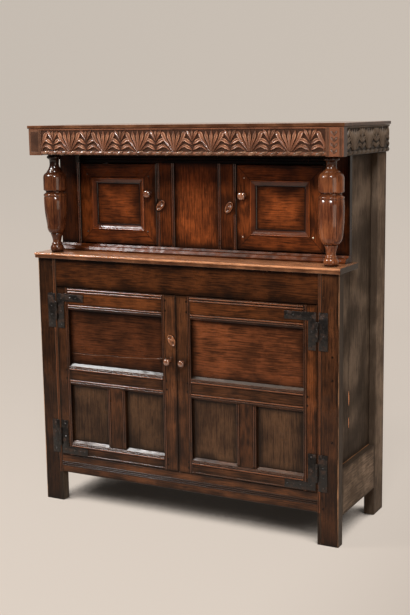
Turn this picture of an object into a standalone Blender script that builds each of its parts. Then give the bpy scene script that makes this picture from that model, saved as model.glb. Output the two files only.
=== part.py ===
"""A joined oak press cupboard, modelled piece by piece as it would come apart on a bench.

Metres, +Z up. The origin is on the floor under the middle of the whole piece, and the front faces -Y.
"""

import math

import bmesh
import bpy
from mathutils import Matrix, Vector

# Overall sizes: the lower case with its ledge, and the stage that stands on it
CASE_WIDTH = 1.310
CASE_DEPTH = 0.487
LEDGE_TOP = 1.042
UPPER_STAGE_HEIGHT = 0.508

# Clearances: touching pieces, turning pieces, doors in their openings, worn edges
FIT = 0.0003
RUN = 0.0004
DOOR_GAP = 0.002
ARRIS = 0.0015

# Lower case
FRONT_STILE_WIDTH = 0.083
FRONT_STILE_DEPTH = 0.040
REAR_STILE_WIDTH = 0.042
REAR_STILE_DEPTH = 0.101
RAIL_SINK = 0.002
TOP_RAIL_HEIGHT = 0.115
BOTTOM_RAIL_LOW = 0.124
BOTTOM_RAIL_HEIGHT = 0.075
TENON_LENGTH = 0.030
TENON_THICK = 0.012
TENON_SHOULDER = 0.012
SIDE_RAIL_LOW = 0.112
SIDE_RAIL_HEIGHT = 0.177
SIDE_RAIL_THICK = 0.030
SIDE_RECESS = 0.023
SIDE_BOARD_THICK = 0.020
FRONT_PLANK_WIDTH = 0.115
PLANK_CRACK_WIDTH = 0.0035
PLANK_TONGUE = 0.005
BACK_THICK = 0.016
BACK_INSET = 0.003
BACK_PLANKS = 5
BACK_JOINT_DEPTH = 0.003
FLOOR_THICK = 0.018
FLOOR_DROP = 0.010
LEDGE_THICK = 0.022
LEDGE_FRONT = 0.012
LEDGE_ENDS = 0.007
LEDGE_ROUND = 0.003
LEDGE_WEAR = 0.0003
LEDGE_WEAR_RIM = 0.008

# Upper stage
UPPER_SETBACK = 0.148
UPPER_THICK = 0.022
UPPER_STILE_WIDTH = 0.096
UPPER_RAIL_DROP = 0.035
MUNTIN_WIDTH = 0.079
CENTRE_PANEL_WIDTH = 0.192
BASE_RAIL_HEIGHT = 0.0265
BASE_RAIL_REACH = 0.043
FRIEZE_HEIGHT = 0.105
FRIEZE_REACH = 0.009
FRIEZE_ENDS = 0.016
FRIEZE_THICK = 0.035
FRIEZE_SINK = 0.004
FRIEZE_BLOCK_WIDTHS = {"left": 0.058, "right": 0.068}
FRIEZE_ROLL = 0.009
FRIEZE_ROLL_RISE = 0.001
FRIEZE_BACK_INSET = 0.012
SOFFIT_THICK = 0.014
TOP_THICK = 0.012
TOP_LIP = 0.004

# Turned pillars: heights are above the ledge, drops are below the top, and each was turned by eye
PILLAR_INSETS = {"left": 0.065, "right": 0.051}
PILLAR_SETBACK = 0.046
PILLAR_DRUM_RADIUS = 0.0466
PILLAR_VASE_RADII = {"left": 0.0370, "right": 0.0425}
PILLAR_GROOVE_RADIUS = 0.038
PILLAR_BULB_RADIUS = 0.028
PILLAR_STEM_RADIUS = 0.0165
PILLAR_COLLAR_RADIUS = 0.0245
PILLAR_FLARE_RADIUS = 0.031
PILLAR_NECK_RADIUS = 0.0186
PILLAR_CAP_RADIUS = 0.029
PILLAR_BULB_HEIGHT = 0.030
PILLAR_STEM_HEIGHT = 0.041
PILLAR_COLLAR_HEIGHT = 0.072
PILLAR_VASE_HEIGHT = 0.106
PILLAR_GROOVE_DROPS = {"left": 0.1475, "right": 0.133}
PILLAR_SHOULDER_DROPS = {"left": 0.093, "right": 0.080}
PILLAR_SHOULDER_RISE = 0.024
PILLAR_NECK_DROP = 0.034
PILLAR_CAP_DROP = 0.016
PILLAR_BEAD = 0.010
PILLAR_QUIRK = 0.002
PILLAR_DOWEL_RADIUS = 0.010
PILLAR_DOWEL_LENGTH = 0.009
PILLAR_SIDES = 20
PILLAR_BULB_SWELL = 0.006
PILLAR_VASE_SWELL = 0.003
PILLAR_SHOULDER_SWELL = 0.0045
PILLAR_NECK_HOLLOW = 0.003
PILLAR_CAP_SWELL = 0.005
FIRM_BOW = 0.003

# Lower doors
DOOR_THICK = 0.026
DOOR_MEETING = -0.0155
HINGE_STILE_WIDTH = 0.054
LOCK_STILE_WIDTH = 0.062
DOOR_BOTTOM_RAIL = 0.064
DOOR_MIDDLE_RAIL = 0.090
DOOR_TOP_RAIL = 0.092
DOOR_MUNTIN_WIDTH = 0.082
LOWER_PANEL_HEIGHT = 0.235
MUNTIN_SINK = 0.0006
STUB_SHOULDER = 0.014

# Panel grooves and run mouldings
GROOVE_DEPTH = 0.008
GROOVE_WIDTH = 0.008
GROOVE_CHEEK = 0.005
MOULD_LIP = 0.0035
OVOLO_WIDTH = 0.008
OVOLO_STEP = 0.0012
SILL_WIDTH = 0.012
SCRATCH_WIDTH = 0.003
SCRATCH_DEPTH = 0.0018
SCRATCH_OFFSET = 0.006
SCRATCH_PITCH = 0.007
REED_OFFSET = 0.012
REED_PITCH = 0.010

# Upper doors
UPPER_FRAME_WIDTH = 0.057
UPPER_MOULD_WIDTH = 0.022
UPPER_MOULD_RISE = 0.003
UPPER_MOULD_FILLET = 0.0004
UPPER_PANEL_THICK = 0.007
UPPER_PANEL_CHEEK = 0.0045
UPPER_EDGE_ROUND = 0.003
PIVOT_INSET = 0.006
PIVOT_RADIUS = 0.0035
PIVOT_LENGTH = 0.012

# Hinges
HINGE_HEIGHT = 0.140
HINGE_TOP_DROP = 0.026
HINGE_BOTTOM_RISE = 0.006
HINGE_LEAF_WIDTH = 0.036
HINGE_POST_WIDTH = 0.041
HINGE_ARM_LENGTH = 0.130
HINGE_ARM_HEIGHT = 0.030
HINGE_PLATE = 0.0025
HINGE_PIN_RADIUS = 0.0024
KNUCKLE_WALL = 0.0024
KNUCKLE_LENGTH = 0.024

# Knobs and turn-buttons
KNOB_REACH = 0.032
KNOB_RADIUS = 0.014
KNOB_TENON_RADIUS = 0.005
KNOB_TENON_LENGTH = 0.012
KNOB_SIDES = 14
KNOB_SWELL = 0.002
KNOB_DOME = 0.0035
LOWER_KNOB_RISE = 0.441
UPPER_KNOB_RISE = 0.236
UPPER_KNOB_INSET = 0.031
BUTTON_LENGTH = 0.049
BUTTON_WIDTH = 0.029
BUTTON_THICK = 0.007
BUTTON_PIN_RADIUS = 0.0026
BUTTON_PIN_LENGTH = 0.013
BUTTON_HEAD_RISE = 0.002
UPPER_BUTTON_TILTS = {"left": math.radians(42), "right": math.radians(30)}
LOWER_BUTTON_TILT = math.radians(-30)
UPPER_BUTTON_RISE = 0.190
LOWER_BUTTON_RISE = 0.525
UPPER_BUTTON_EDGES = {"left": 0.019, "right": 0.0285}
LOWER_BUTTON_EDGE = 0.018

# Planes and levels that follow from the sizes
HALF = CASE_WIDTH / 2
FACE = -(CASE_DEPTH - KNOB_REACH) / 2
BACK = FACE + CASE_DEPTH
OPENING = HALF - FRONT_STILE_WIDTH
LEDGE_LOW = LEDGE_TOP - LEDGE_THICK
TOP_RAIL_LOW = LEDGE_LOW - TOP_RAIL_HEIGHT
BOTTOM_RAIL_TOP = BOTTOM_RAIL_LOW + BOTTOM_RAIL_HEIGHT
STILE_BACK = FACE + FRONT_STILE_DEPTH
REAR_STILE_FACE = BACK - REAR_STILE_DEPTH
SIDE_FACE = HALF - SIDE_RECESS
SIDE_INNER = SIDE_FACE - SIDE_BOARD_THICK
BACK_FACE = BACK - BACK_INSET - BACK_THICK
DOOR_LOW = BOTTOM_RAIL_TOP + DOOR_GAP
DOOR_HIGH = TOP_RAIL_LOW - DOOR_GAP
TOP = LEDGE_TOP + UPPER_STAGE_HEIGHT
TOP_LOW = TOP - TOP_THICK
FRIEZE_LOW = TOP_LOW - FRIEZE_HEIGHT
FRIEZE_FRONT = FACE - FRIEZE_REACH
FRIEZE_BACK = FRIEZE_FRONT + FRIEZE_THICK
FRIEZE_HALF = HALF + FRIEZE_ENDS
FRIEZE_REAR = BACK - FRIEZE_BACK_INSET
UPPER_FACE = FACE + UPPER_SETBACK
UPPER_BACK = UPPER_FACE + UPPER_THICK
UPPER_HALF = FRIEZE_HALF - FRIEZE_THICK - FIT
UPPER_OPENING = UPPER_HALF - UPPER_STILE_WIDTH
MUNTIN_INNER = CENTRE_PANEL_WIDTH / 2
MUNTIN_OUTER = MUNTIN_INNER + MUNTIN_WIDTH
BASE_TOP = LEDGE_TOP + FIT + BASE_RAIL_HEIGHT
UPPER_RAIL_LOW = FRIEZE_LOW - UPPER_RAIL_DROP
PILLAR_Y = FACE + PILLAR_SETBACK
PANEL_REACH = GROOVE_DEPTH - FIT
MOULD_DEPTH = DOOR_THICK - GROOVE_CHEEK - GROOVE_WIDTH - MOULD_LIP
UPPER_PANEL_SINK = UPPER_THICK - UPPER_PANEL_CHEEK - UPPER_PANEL_THICK - 2 * FIT
KNUCKLE_RADIUS = HINGE_PIN_RADIUS + KNUCKLE_WALL
KNUCKLE_OUT = HINGE_PIN_RADIUS + HINGE_PLATE + FIT + 2 * RUN
SIDES = {"left": -1, "right": 1}


# Finishes: sRGB colour, roughness, metallic
def finish(name, colour, roughness, metallic=0.0):
    material = bpy.data.materials.new(name)
    material.use_nodes = True
    shader = material.node_tree.nodes["Principled BSDF"]
    linear = [(c / 12.92 if c <= 0.04045 else ((c + 0.055) / 1.055) ** 2.4) for c in colour]
    shader.inputs["Base Color"].default_value = (*linear, 1.0)
    shader.inputs["Roughness"].default_value = roughness
    shader.inputs["Metallic"].default_value = metallic
    material.diffuse_color = (*linear, 1.0)
    return material


# Turning a bmesh into a named object
def piece(name, bm, material=None, smooth=False):
    bmesh.ops.recalc_face_normals(bm, faces=bm.faces)
    mesh = bpy.data.meshes.new(name)
    bm.to_mesh(mesh)
    bm.free()
    if smooth:
        mesh.shade_smooth()
        mesh.set_sharp_from_angle(angle=math.radians(35))
    obj = bpy.data.objects.new(name, mesh)
    bpy.context.scene.collection.objects.link(obj)
    if material is not None:
        mesh.materials.append(material)
    return obj


# A box with slightly broken edges
def board(name, low, high, material=None, arris=ARRIS):
    low, high = Vector(low), Vector(high)
    bm = bmesh.new()
    place = Matrix.Translation((low + high) / 2) @ Matrix.Diagonal((*(high - low), 1.0))
    bmesh.ops.create_cube(bm, size=1.0, matrix=place)
    if arris:
        bmesh.ops.bevel(
            bm, geom=bm.edges[:], offset=arris, segments=1, profile=0.5, affect="EDGES", material=-1
        )
    return piece(name, bm, material)


# A flat outline drawn out along one axis; the outline's points are in the other two, in X, Y, Z order
def prism(name, outline, axis, low, high, material=None):
    def point(a, b, along):
        coordinates = [a, b]
        coordinates.insert(axis, along)
        return coordinates

    bm = bmesh.new()
    face = bm.faces.new([bm.verts.new(point(a, b, low)) for a, b in outline])
    drawn = bmesh.ops.extrude_face_region(bm, geom=[face])["geom"]
    moved = [item for item in drawn if isinstance(item, bmesh.types.BMVert)]
    bmesh.ops.translate(bm, verts=moved, vec=point(0.0, 0.0, high - low))
    return piece(name, bm, material)


# A shape turned on the lathe from (radius, height) points that start and end on the axis
def turned(name, profile, sides, place, material=None):
    bm = bmesh.new()
    verts = [bm.verts.new((radius, 0.0, height)) for radius, height in profile]
    edges = [bm.edges.new(pair) for pair in zip(verts, verts[1:])]
    bmesh.ops.spin(
        bm, geom=verts + edges, axis=(0, 0, 1), cent=(0, 0, 0), angle=math.tau, steps=sides, use_merge=True
    )
    bmesh.ops.remove_doubles(bm, verts=bm.verts, dist=1e-6)
    bmesh.ops.transform(bm, matrix=place, verts=bm.verts)
    return piece(name, bm, material, smooth=True)


def rod(name, radius, start, end, sides=16):
    start, end = Vector(start), Vector(end)
    bm = bmesh.new()
    turn = (end - start).to_track_quat("Z", "Y").to_matrix().to_4x4()
    bmesh.ops.create_cone(
        bm,
        cap_ends=True,
        segments=sides,
        radius1=radius,
        radius2=radius,
        depth=(end - start).length,
        matrix=Matrix.Translation((start + end) / 2) @ turn,
    )
    return piece(name, bm)


# Booleans keep their hidden tools in the scene
def with_tool(obj, tool, operation):
    tool.hide_render = True
    tool.display_type = "WIRE"
    modifier = obj.modifiers.new(tool.name, "BOOLEAN")
    modifier.operation = operation
    modifier.object = tool
    modifier.solver = "EXACT"


def cut(obj, tool):
    with_tool(obj, tool, "DIFFERENCE")


def join(obj, tool):
    with_tool(obj, tool, "UNION")


# A moving piece keeps its origin on the joint's axis by hanging from an empty there
def pivot(name, location):
    empty = bpy.data.objects.new(name, None)
    empty.location = location
    bpy.context.scene.collection.objects.link(empty)
    return empty


def hang(obj, empty):
    obj.data.transform(Matrix.Translation(-empty.location))
    obj.parent = empty
    return obj


# Run mouldings: points from a member's edge towards its middle, as (across, depth below the face)
def scratches(first, count, pitch=SCRATCH_PITCH):
    points = []
    for index in range(count):
        centre = first + index * pitch
        half = SCRATCH_WIDTH / 2
        points += [(centre - half, 0.0), (centre, SCRATCH_DEPTH), (centre + half, 0.0)]
    return points


def plain_edge():
    return [(0.0, ARRIS), (ARRIS, 0.0)]


def scratched_edge():
    return plain_edge() + scratches(SCRATCH_OFFSET, 2)


def reeded_edge():
    return plain_edge() + scratches(REED_OFFSET, 2, REED_PITCH)


def ovolo_edge():
    points = []
    for step in range(5):
        angle = math.radians(90) * step / 4
        across = OVOLO_WIDTH * (1 - math.cos(angle))
        depth = MOULD_DEPTH - (MOULD_DEPTH - OVOLO_STEP) * math.sin(angle)
        points.append((across, depth))
    return points + [(OVOLO_WIDTH, 0.0)] + scratches(OVOLO_WIDTH + SCRATCH_OFFSET, 2, REED_PITCH)


def sill_edge():
    return [(0.0, MOULD_DEPTH), (SILL_WIDTH, 0.0)] + scratches(SILL_WIDTH + SCRATCH_OFFSET, 2, REED_PITCH)


# The whole outline of a moulded member, with a panel groove in either edge
def section(width, thick, near, far, near_groove=False, far_groove=False, cheek=GROOVE_CHEEK):
    back = thick - cheek
    front = back - GROOVE_WIDTH

    def edge(moulding, grooved):
        points = [(0.0, thick)]
        if grooved:
            points += [(0.0, back), (GROOVE_DEPTH, back), (GROOVE_DEPTH, front), (0.0, front)]
        return points + moulding

    opposite = [(width - across, depth) for across, depth in reversed(edge(far, far_groove))]
    return edge(near, near_groove) + opposite


# Where a panel lies in the groove of a member this thick, as depths below its face
def panel_depths(thick):
    back = thick - GROOVE_CHEEK
    return back - GROOVE_WIDTH + FIT, back - FIT


# A rail lies along X with its lower edge first; a post stands along Z with its first edge at first_x
def rail(name, outline, x_low, x_high, z_low, face, material=None):
    points = [(face + depth, z_low + across) for across, depth in outline]
    return prism(name, points, 0, x_low, x_high, material)


def post(name, outline, first_x, direction, z_low, z_high, face, material=None):
    points = [(first_x + direction * across, face + depth) for across, depth in outline]
    return prism(name, points, 2, z_low, z_high, material)


# Lower case
def front_stiles(oak):
    outline = section(FRONT_STILE_WIDTH, FRONT_STILE_DEPTH, scratched_edge(), plain_edge())
    top = LEDGE_LOW - FIT
    return {
        side: post(f"front_stile_{side}", outline, sign * OPENING, sign, 0.0, top, FACE, oak)
        for side, sign in SIDES.items()
    }


def tenoned_rail(name, stiles, outline, z_low, height, oak):
    face = FACE + RAIL_SINK
    made = rail(name, outline, -OPENING + FIT, OPENING - FIT, z_low, face, oak)
    middle = face + (FRONT_STILE_DEPTH - RAIL_SINK) / 2
    reach = OPENING + TENON_LENGTH
    low = Vector((-reach, middle - TENON_THICK / 2, z_low + TENON_SHOULDER))
    high = Vector((reach, middle + TENON_THICK / 2, z_low + height - TENON_SHOULDER))
    join(made, board(f"{name}_tenons", low, high, arris=0))
    room = Vector((FIT, FIT, FIT))
    for side, stile in stiles.items():
        cut(stile, board(f"{name}_mortise_{side}", low - room, high + room, arris=0))


def case_rails(stiles, oak):
    depth = FRONT_STILE_DEPTH - RAIL_SINK
    top_height = TOP_RAIL_HEIGHT - FIT
    top = section(top_height, depth, plain_edge(), plain_edge())
    tenoned_rail("lower_top_rail", stiles, top, TOP_RAIL_LOW, top_height, oak)
    run = plain_edge() + scratches(BOTTOM_RAIL_HEIGHT / 2 - SCRATCH_PITCH / 2, 2)
    bottom = section(BOTTOM_RAIL_HEIGHT, depth, run, plain_edge())
    tenoned_rail("lower_bottom_rail", stiles, bottom, BOTTOM_RAIL_LOW, BOTTOM_RAIL_HEIGHT, oak)


def case_sides(worn_oak):
    front, rear = STILE_BACK + FIT, REAR_STILE_FACE - FIT
    rail_top = SIDE_RAIL_LOW + SIDE_RAIL_HEIGHT
    notch = UPPER_BACK + FIT
    outline = [(front, rail_top + FIT), (rear, rail_top + FIT), (rear, FRIEZE_LOW - FIT)]
    outline += [(notch, FRIEZE_LOW - FIT), (notch, LEDGE_LOW - FIT), (front, LEDGE_LOW - FIT)]
    crack = front + FRONT_PLANK_WIDTH
    for side, sign in SIDES.items():
        low_x, high_x = sorted((sign * (HALF - REAR_STILE_WIDTH), sign * HALF))
        board(
            f"rear_stile_{side}", (low_x, REAR_STILE_FACE, 0.0), (high_x, BACK, FRIEZE_LOW - FIT), worn_oak
        )
        low_x, high_x = sorted((sign * (HALF - SIDE_RAIL_THICK), sign * HALF))
        board(f"side_bottom_rail_{side}", (low_x, front, SIDE_RAIL_LOW), (high_x, rear, rail_top), worn_oak)
        low_x, high_x = sorted((sign * SIDE_INNER, sign * SIDE_FACE))
        planks = prism(f"side_board_{side}", outline, 0, low_x, high_x, worn_oak)
        low_x, high_x = sorted((sign * (SIDE_INNER + PLANK_TONGUE), sign * HALF))
        joint = board(
            f"plank_joint_{side}",
            (low_x, crack, rail_top - SIDE_BOARD_THICK),
            (high_x, crack + PLANK_CRACK_WIDTH, LEDGE_TOP),
            arris=0,
        )
        cut(planks, joint)


def back_boards(oak):
    half = HALF - REAR_STILE_WIDTH - FIT
    outline = [(-half, BACK_FACE), (half, BACK_FACE), (half, BACK_FACE + BACK_THICK)]
    for index in range(BACK_PLANKS - 1, 0, -1):
        joint = -half + 2 * half * index / BACK_PLANKS
        outside = BACK_FACE + BACK_THICK
        outline += [(joint + BACK_JOINT_DEPTH, outside), (joint, outside - BACK_JOINT_DEPTH)]
        outline += [(joint - BACK_JOINT_DEPTH, outside)]
    outline += [(-half, BACK_FACE + BACK_THICK)]
    prism("back_boards", outline, 2, SIDE_RAIL_LOW, TOP_LOW - FIT, oak)


def cupboard_floor(oak):
    wide = HALF - SIDE_RAIL_THICK - FIT
    narrow = HALF - REAR_STILE_WIDTH - FIT
    front, step, rear = STILE_BACK + FIT, REAR_STILE_FACE - FIT, BACK_FACE - FIT
    right = [(wide, front), (wide, step), (narrow, step), (narrow, rear)]
    outline = right + [(-x, y) for x, y in reversed(right)]
    top = BOTTOM_RAIL_TOP - FLOOR_DROP
    prism("cupboard_floor", outline, 2, top - FLOOR_THICK, top, oak)


# The ledge runs back between the tall side planks, and its ends overhang the case in front of them
# Between the pillars it is worn very slightly hollow
def ledge_board(oak):
    long, short = HALF + LEDGE_ENDS, SIDE_INNER - FIT
    front, step, rear = FACE - LEDGE_FRONT, UPPER_BACK, BACK_FACE - FIT
    right = [(long, front), (long, step), (short, step), (short, rear)]
    outline = right + [(-x, y) for x, y in reversed(right)]
    ledge = prism("ledge_board", outline, 2, LEDGE_LOW, LEDGE_TOP, oak)
    weights = ledge.data.attributes.new("bevel_weight_edge", "FLOAT", "EDGE")
    for edge in ledge.data.edges:
        ends = [ledge.data.vertices[index].co for index in edge.vertices]
        weights.data[edge.index].value = float(all(abs(end.x) > short + FIT for end in ends))
    soften = ledge.modifiers.new("worn edges", "BEVEL")
    soften.width = LEDGE_ROUND
    soften.segments = 2
    soften.limit_method = "WEIGHT"
    left = PILLAR_INSETS["left"] + PILLAR_BULB_RADIUS - HALF
    right = HALF - PILLAR_INSETS["right"] - PILLAR_BULB_RADIUS
    low = (left, front + LEDGE_WEAR_RIM, LEDGE_TOP - LEDGE_WEAR)
    high = (right, UPPER_FACE - BASE_RAIL_REACH - FIT, LEDGE_TOP + LEDGE_THICK)
    cut(ledge, board("ledge_wear", low, high, arris=0))
    return ledge


# Upper stage
def base_moulding():
    front, foot, rise = UPPER_FACE - BASE_RAIL_REACH, LEDGE_TOP + FIT, BASE_RAIL_HEIGHT
    points = [(UPPER_BACK, foot), (UPPER_BACK, foot + rise), (UPPER_FACE - 0.1 * BASE_RAIL_REACH, foot + rise)]
    bead = (UPPER_FACE - 0.16 * BASE_RAIL_REACH, foot + 0.78 * rise)
    points += [(UPPER_FACE - 0.3 * BASE_RAIL_REACH, foot + 0.94 * rise), bead]
    cove_steps = 5
    for step in range(1, cove_steps + 1):
        angle = math.radians(90) * step / cove_steps
        out = bead[0] + (front + ARRIS - bead[0]) * (1 - math.cos(angle))
        down = bead[1] + (foot + 0.3 * rise - bead[1]) * math.sin(angle)
        points.append((out, down))
    return points + [(front, foot + 0.24 * rise), (front, foot)]


def upper_frame(oak, panel_oak):
    base = prism("upper_bottom_rail", base_moulding(), 0, -UPPER_HALF, UPPER_HALF, oak)
    stile = section(UPPER_STILE_WIDTH, UPPER_THICK, scratched_edge(), plain_edge())
    muntin = section(
        MUNTIN_WIDTH, UPPER_THICK, scratched_edge(), scratched_edge(), near_groove=True, far_groove=False
    )
    low, high = BASE_TOP + FIT, TOP_LOW - FIT
    muntins = {}
    for side, sign in SIDES.items():
        post(f"upper_stile_{side}", stile, sign * UPPER_OPENING, sign, low, high, UPPER_FACE, oak)
        muntins[side] = post(
            f"muntin_{side}", muntin, sign * MUNTIN_INNER, sign, low, UPPER_RAIL_LOW - FIT, UPPER_FACE, oak
        )
    outline = section(high - UPPER_RAIL_LOW, UPPER_THICK, reeded_edge(), plain_edge())
    reach = UPPER_OPENING - FIT
    top = rail("upper_top_rail", outline, -reach, reach, UPPER_RAIL_LOW, UPPER_FACE, oak)
    half = MUNTIN_INNER + PANEL_REACH
    front, rear = [UPPER_FACE + depth for depth in panel_depths(UPPER_THICK)]
    board("upper_centre_panel", (-half, front, low), (half, rear, UPPER_RAIL_LOW - FIT), panel_oak, ARRIS / 2)
    return base, top, muntins


# The frieze: a sunk field for carving over a half-round roll, as (depth, height) points
def frieze_outline(height):
    roll_rise = FRIEZE_ROLL_RISE
    points = [(FRIEZE_THICK, roll_rise), (FRIEZE_ROLL, roll_rise)]
    roll_steps = 6
    for step in range(1, roll_steps):
        angle = math.pi * step / roll_steps
        points.append((FRIEZE_ROLL * (1 - math.sin(angle)), roll_rise + FRIEZE_ROLL * (1 - math.cos(angle))))
    points += [(FRIEZE_SINK, roll_rise + 2 * FRIEZE_ROLL), (FRIEZE_SINK, height - FRIEZE_ROLL)]
    return points + [(0.0, height - FRIEZE_ROLL + FRIEZE_SINK), (0.0, height), (FRIEZE_THICK, height)]


def frieze(oak, worn_oak):
    height = TOP_LOW - FIT - FRIEZE_LOW
    field = frieze_outline(height - 2 * FIT)
    front = [(FRIEZE_FRONT + depth, FRIEZE_LOW + rise) for depth, rise in field]
    ends = {side: FRIEZE_HALF - width / 2 for side, width in FRIEZE_BLOCK_WIDTHS.items()}
    whole = prism("frieze_front", front, 0, -ends["left"], ends["right"], oak)
    for side, sign in SIDES.items():
        inner = FRIEZE_HALF - FRIEZE_BLOCK_WIDTHS[side]
        low_x, high_x = sorted((sign * inner, sign * FRIEZE_HALF))
        block = board(
            f"frieze_block_{side}",
            (low_x, FRIEZE_FRONT, FRIEZE_LOW),
            (high_x, FRIEZE_BACK + FIT, FRIEZE_LOW + height),
        )
        join(whole, block)
        end = [(sign * (FRIEZE_HALF - depth), FRIEZE_LOW + rise) for depth, rise in field]
        prism(f"frieze_side_{side}", end, 1, FRIEZE_BACK + 2 * FIT, FRIEZE_REAR, worn_oak)
    half = FRIEZE_HALF - FRIEZE_THICK - FIT
    soffit = board(
        "soffit_board",
        (-half, FRIEZE_BACK + 2 * FIT, FRIEZE_LOW),
        (half, UPPER_FACE - FIT, FRIEZE_LOW + SOFFIT_THICK),
        oak,
    )
    edge = FRIEZE_HALF + TOP_LIP
    board(
        "top_board",
        (-edge, FRIEZE_FRONT - TOP_LIP, TOP_LOW),
        (edge, FRIEZE_REAR + TOP_LIP, TOP),
        worn_oak,
    )
    return soffit


# Turned work: each step is (radius, height, bow), where bow swells or hollows the curve to that point
def lathe_line(start, steps):
    points = [start]
    for radius, height, bow in steps:
        last = Vector(points[-1])
        end = Vector((radius, height))
        along = end - last
        if not bow:
            points.append((radius, height))
            continue
        knee = (last + end) / 2 + Vector((along.y, -along.x)).normalized() * 2 * bow
        count = 3 if abs(bow) < FIRM_BOW else 5
        for index in range(1, count + 1):
            t = index / count
            point = last * (1 - t) ** 2 + knee * 2 * t * (1 - t) + end * t * t
            points.append((point.x, point.y))
    return points


def pillar_profile(side, height):
    drum, bulb, cap = PILLAR_DRUM_RADIUS, PILLAR_BULB_RADIUS, PILLAR_CAP_RADIUS
    dowel, bead, quirk = PILLAR_DOWEL_RADIUS, PILLAR_BEAD, PILLAR_QUIRK
    groove, deep = height - PILLAR_GROOVE_DROPS[side], PILLAR_GROOVE_RADIUS
    shoulder, vase = height - PILLAR_SHOULDER_DROPS[side], PILLAR_VASE_RADII[side]
    collar, ring = PILLAR_COLLAR_HEIGHT, shoulder + PILLAR_SHOULDER_RISE
    fine = drum - quirk
    steps = [
        (dowel, -PILLAR_DOWEL_LENGTH, 0),
        (dowel, 0.0, 0),
        (0.8 * bulb, 0.0, 0),
        (0.74 * bulb, PILLAR_BULB_HEIGHT, PILLAR_BULB_SWELL),
        (0.74 * bulb, PILLAR_BULB_HEIGHT + bead / 2, quirk),
        (PILLAR_STEM_RADIUS, PILLAR_STEM_HEIGHT, 0),
        (PILLAR_COLLAR_RADIUS, collar, -quirk / 2),
        (PILLAR_COLLAR_RADIUS, collar + quirk, 0),
        (PILLAR_COLLAR_RADIUS - quirk, collar + 2 * quirk, 0),
        (0.62 * drum, collar + 3 * quirk, 0),
        (vase, PILLAR_VASE_HEIGHT, PILLAR_VASE_SWELL),
        (drum, groove - 2 * bead, PILLAR_VASE_SWELL),
        (fine, groove - 2 * bead + quirk, 0),
        (drum, groove - 2 * bead + 2 * quirk, 0),
        (fine, groove - 0.7 * bead, quirk),
        (deep, groove - quirk, 0),
        (deep, groove + quirk, 0),
        (fine, groove + 0.6 * bead, 0),
        (drum, groove + 1.2 * bead, quirk / 2),
        (drum, shoulder, 0),
        (PILLAR_FLARE_RADIUS + quirk, ring, PILLAR_SHOULDER_SWELL),
        (PILLAR_FLARE_RADIUS, ring + quirk, 0),
        (PILLAR_FLARE_RADIUS, ring + 2 * quirk, 0),
        (PILLAR_NECK_RADIUS, height - PILLAR_NECK_DROP, -PILLAR_NECK_HOLLOW),
        (1.1 * PILLAR_NECK_RADIUS, height - PILLAR_CAP_DROP - quirk, 0),
        (0.85 * cap, height - PILLAR_CAP_DROP, 0),
        (0.85 * cap, height - quirk, PILLAR_CAP_SWELL),
        (0.8 * cap, height, 0),
        (dowel, height, 0),
        (dowel, height + PILLAR_DOWEL_LENGTH, 0),
        (0.0, height + PILLAR_DOWEL_LENGTH, 0),
    ]
    return lathe_line((0.0, -PILLAR_DOWEL_LENGTH), steps)


def pillars(ledge, soffit, oak):
    height = FRIEZE_LOW - LEDGE_TOP - 2 * FIT
    for side, sign in SIDES.items():
        foot = Vector((sign * (HALF - PILLAR_INSETS[side]), PILLAR_Y, LEDGE_TOP + FIT))
        profile = pillar_profile(side, height)
        turned(f"pillar_{side}", profile, PILLAR_SIDES, Matrix.Translation(foot), oak)
        reach = Vector((0, 0, PILLAR_DOWEL_LENGTH + FIT))
        hole = PILLAR_DOWEL_RADIUS + FIT
        top = foot + Vector((0, 0, height))
        cut(ledge, rod(f"pillar_foot_hole_{side}", hole, foot - reach, foot + reach))
        cut(soffit, rod(f"pillar_top_hole_{side}", hole, top - reach, top + reach))


# Knobs and turn-buttons
def knob(name, x, z, face, carrier, wood):
    tenon, ball = KNOB_TENON_RADIUS, KNOB_RADIUS
    steps = [
        (tenon, -KNOB_TENON_LENGTH, 0),
        (tenon, FIT, 0),
        (0.66 * ball, FIT, 0),
        (0.66 * ball, 0.08 * KNOB_REACH, 0),
        (0.45 * ball, 0.3 * KNOB_REACH, 0),
        (ball, 0.62 * KNOB_REACH, KNOB_SWELL),
        (0.3 * ball, 0.97 * KNOB_REACH, KNOB_DOME),
        (0.0, KNOB_REACH, 0),
    ]
    place = Matrix.Translation((x, face, z)) @ Matrix.Rotation(math.radians(90), 4, "X")
    made = turned(name, lathe_line((0.0, -KNOB_TENON_LENGTH), steps), KNOB_SIDES, place, wood)
    reach = KNOB_TENON_LENGTH + FIT
    cut(carrier, rod(f"{name}_hole", tenon + FIT, (x, face - reach, z), (x, face + reach, z)))
    return made


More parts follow.
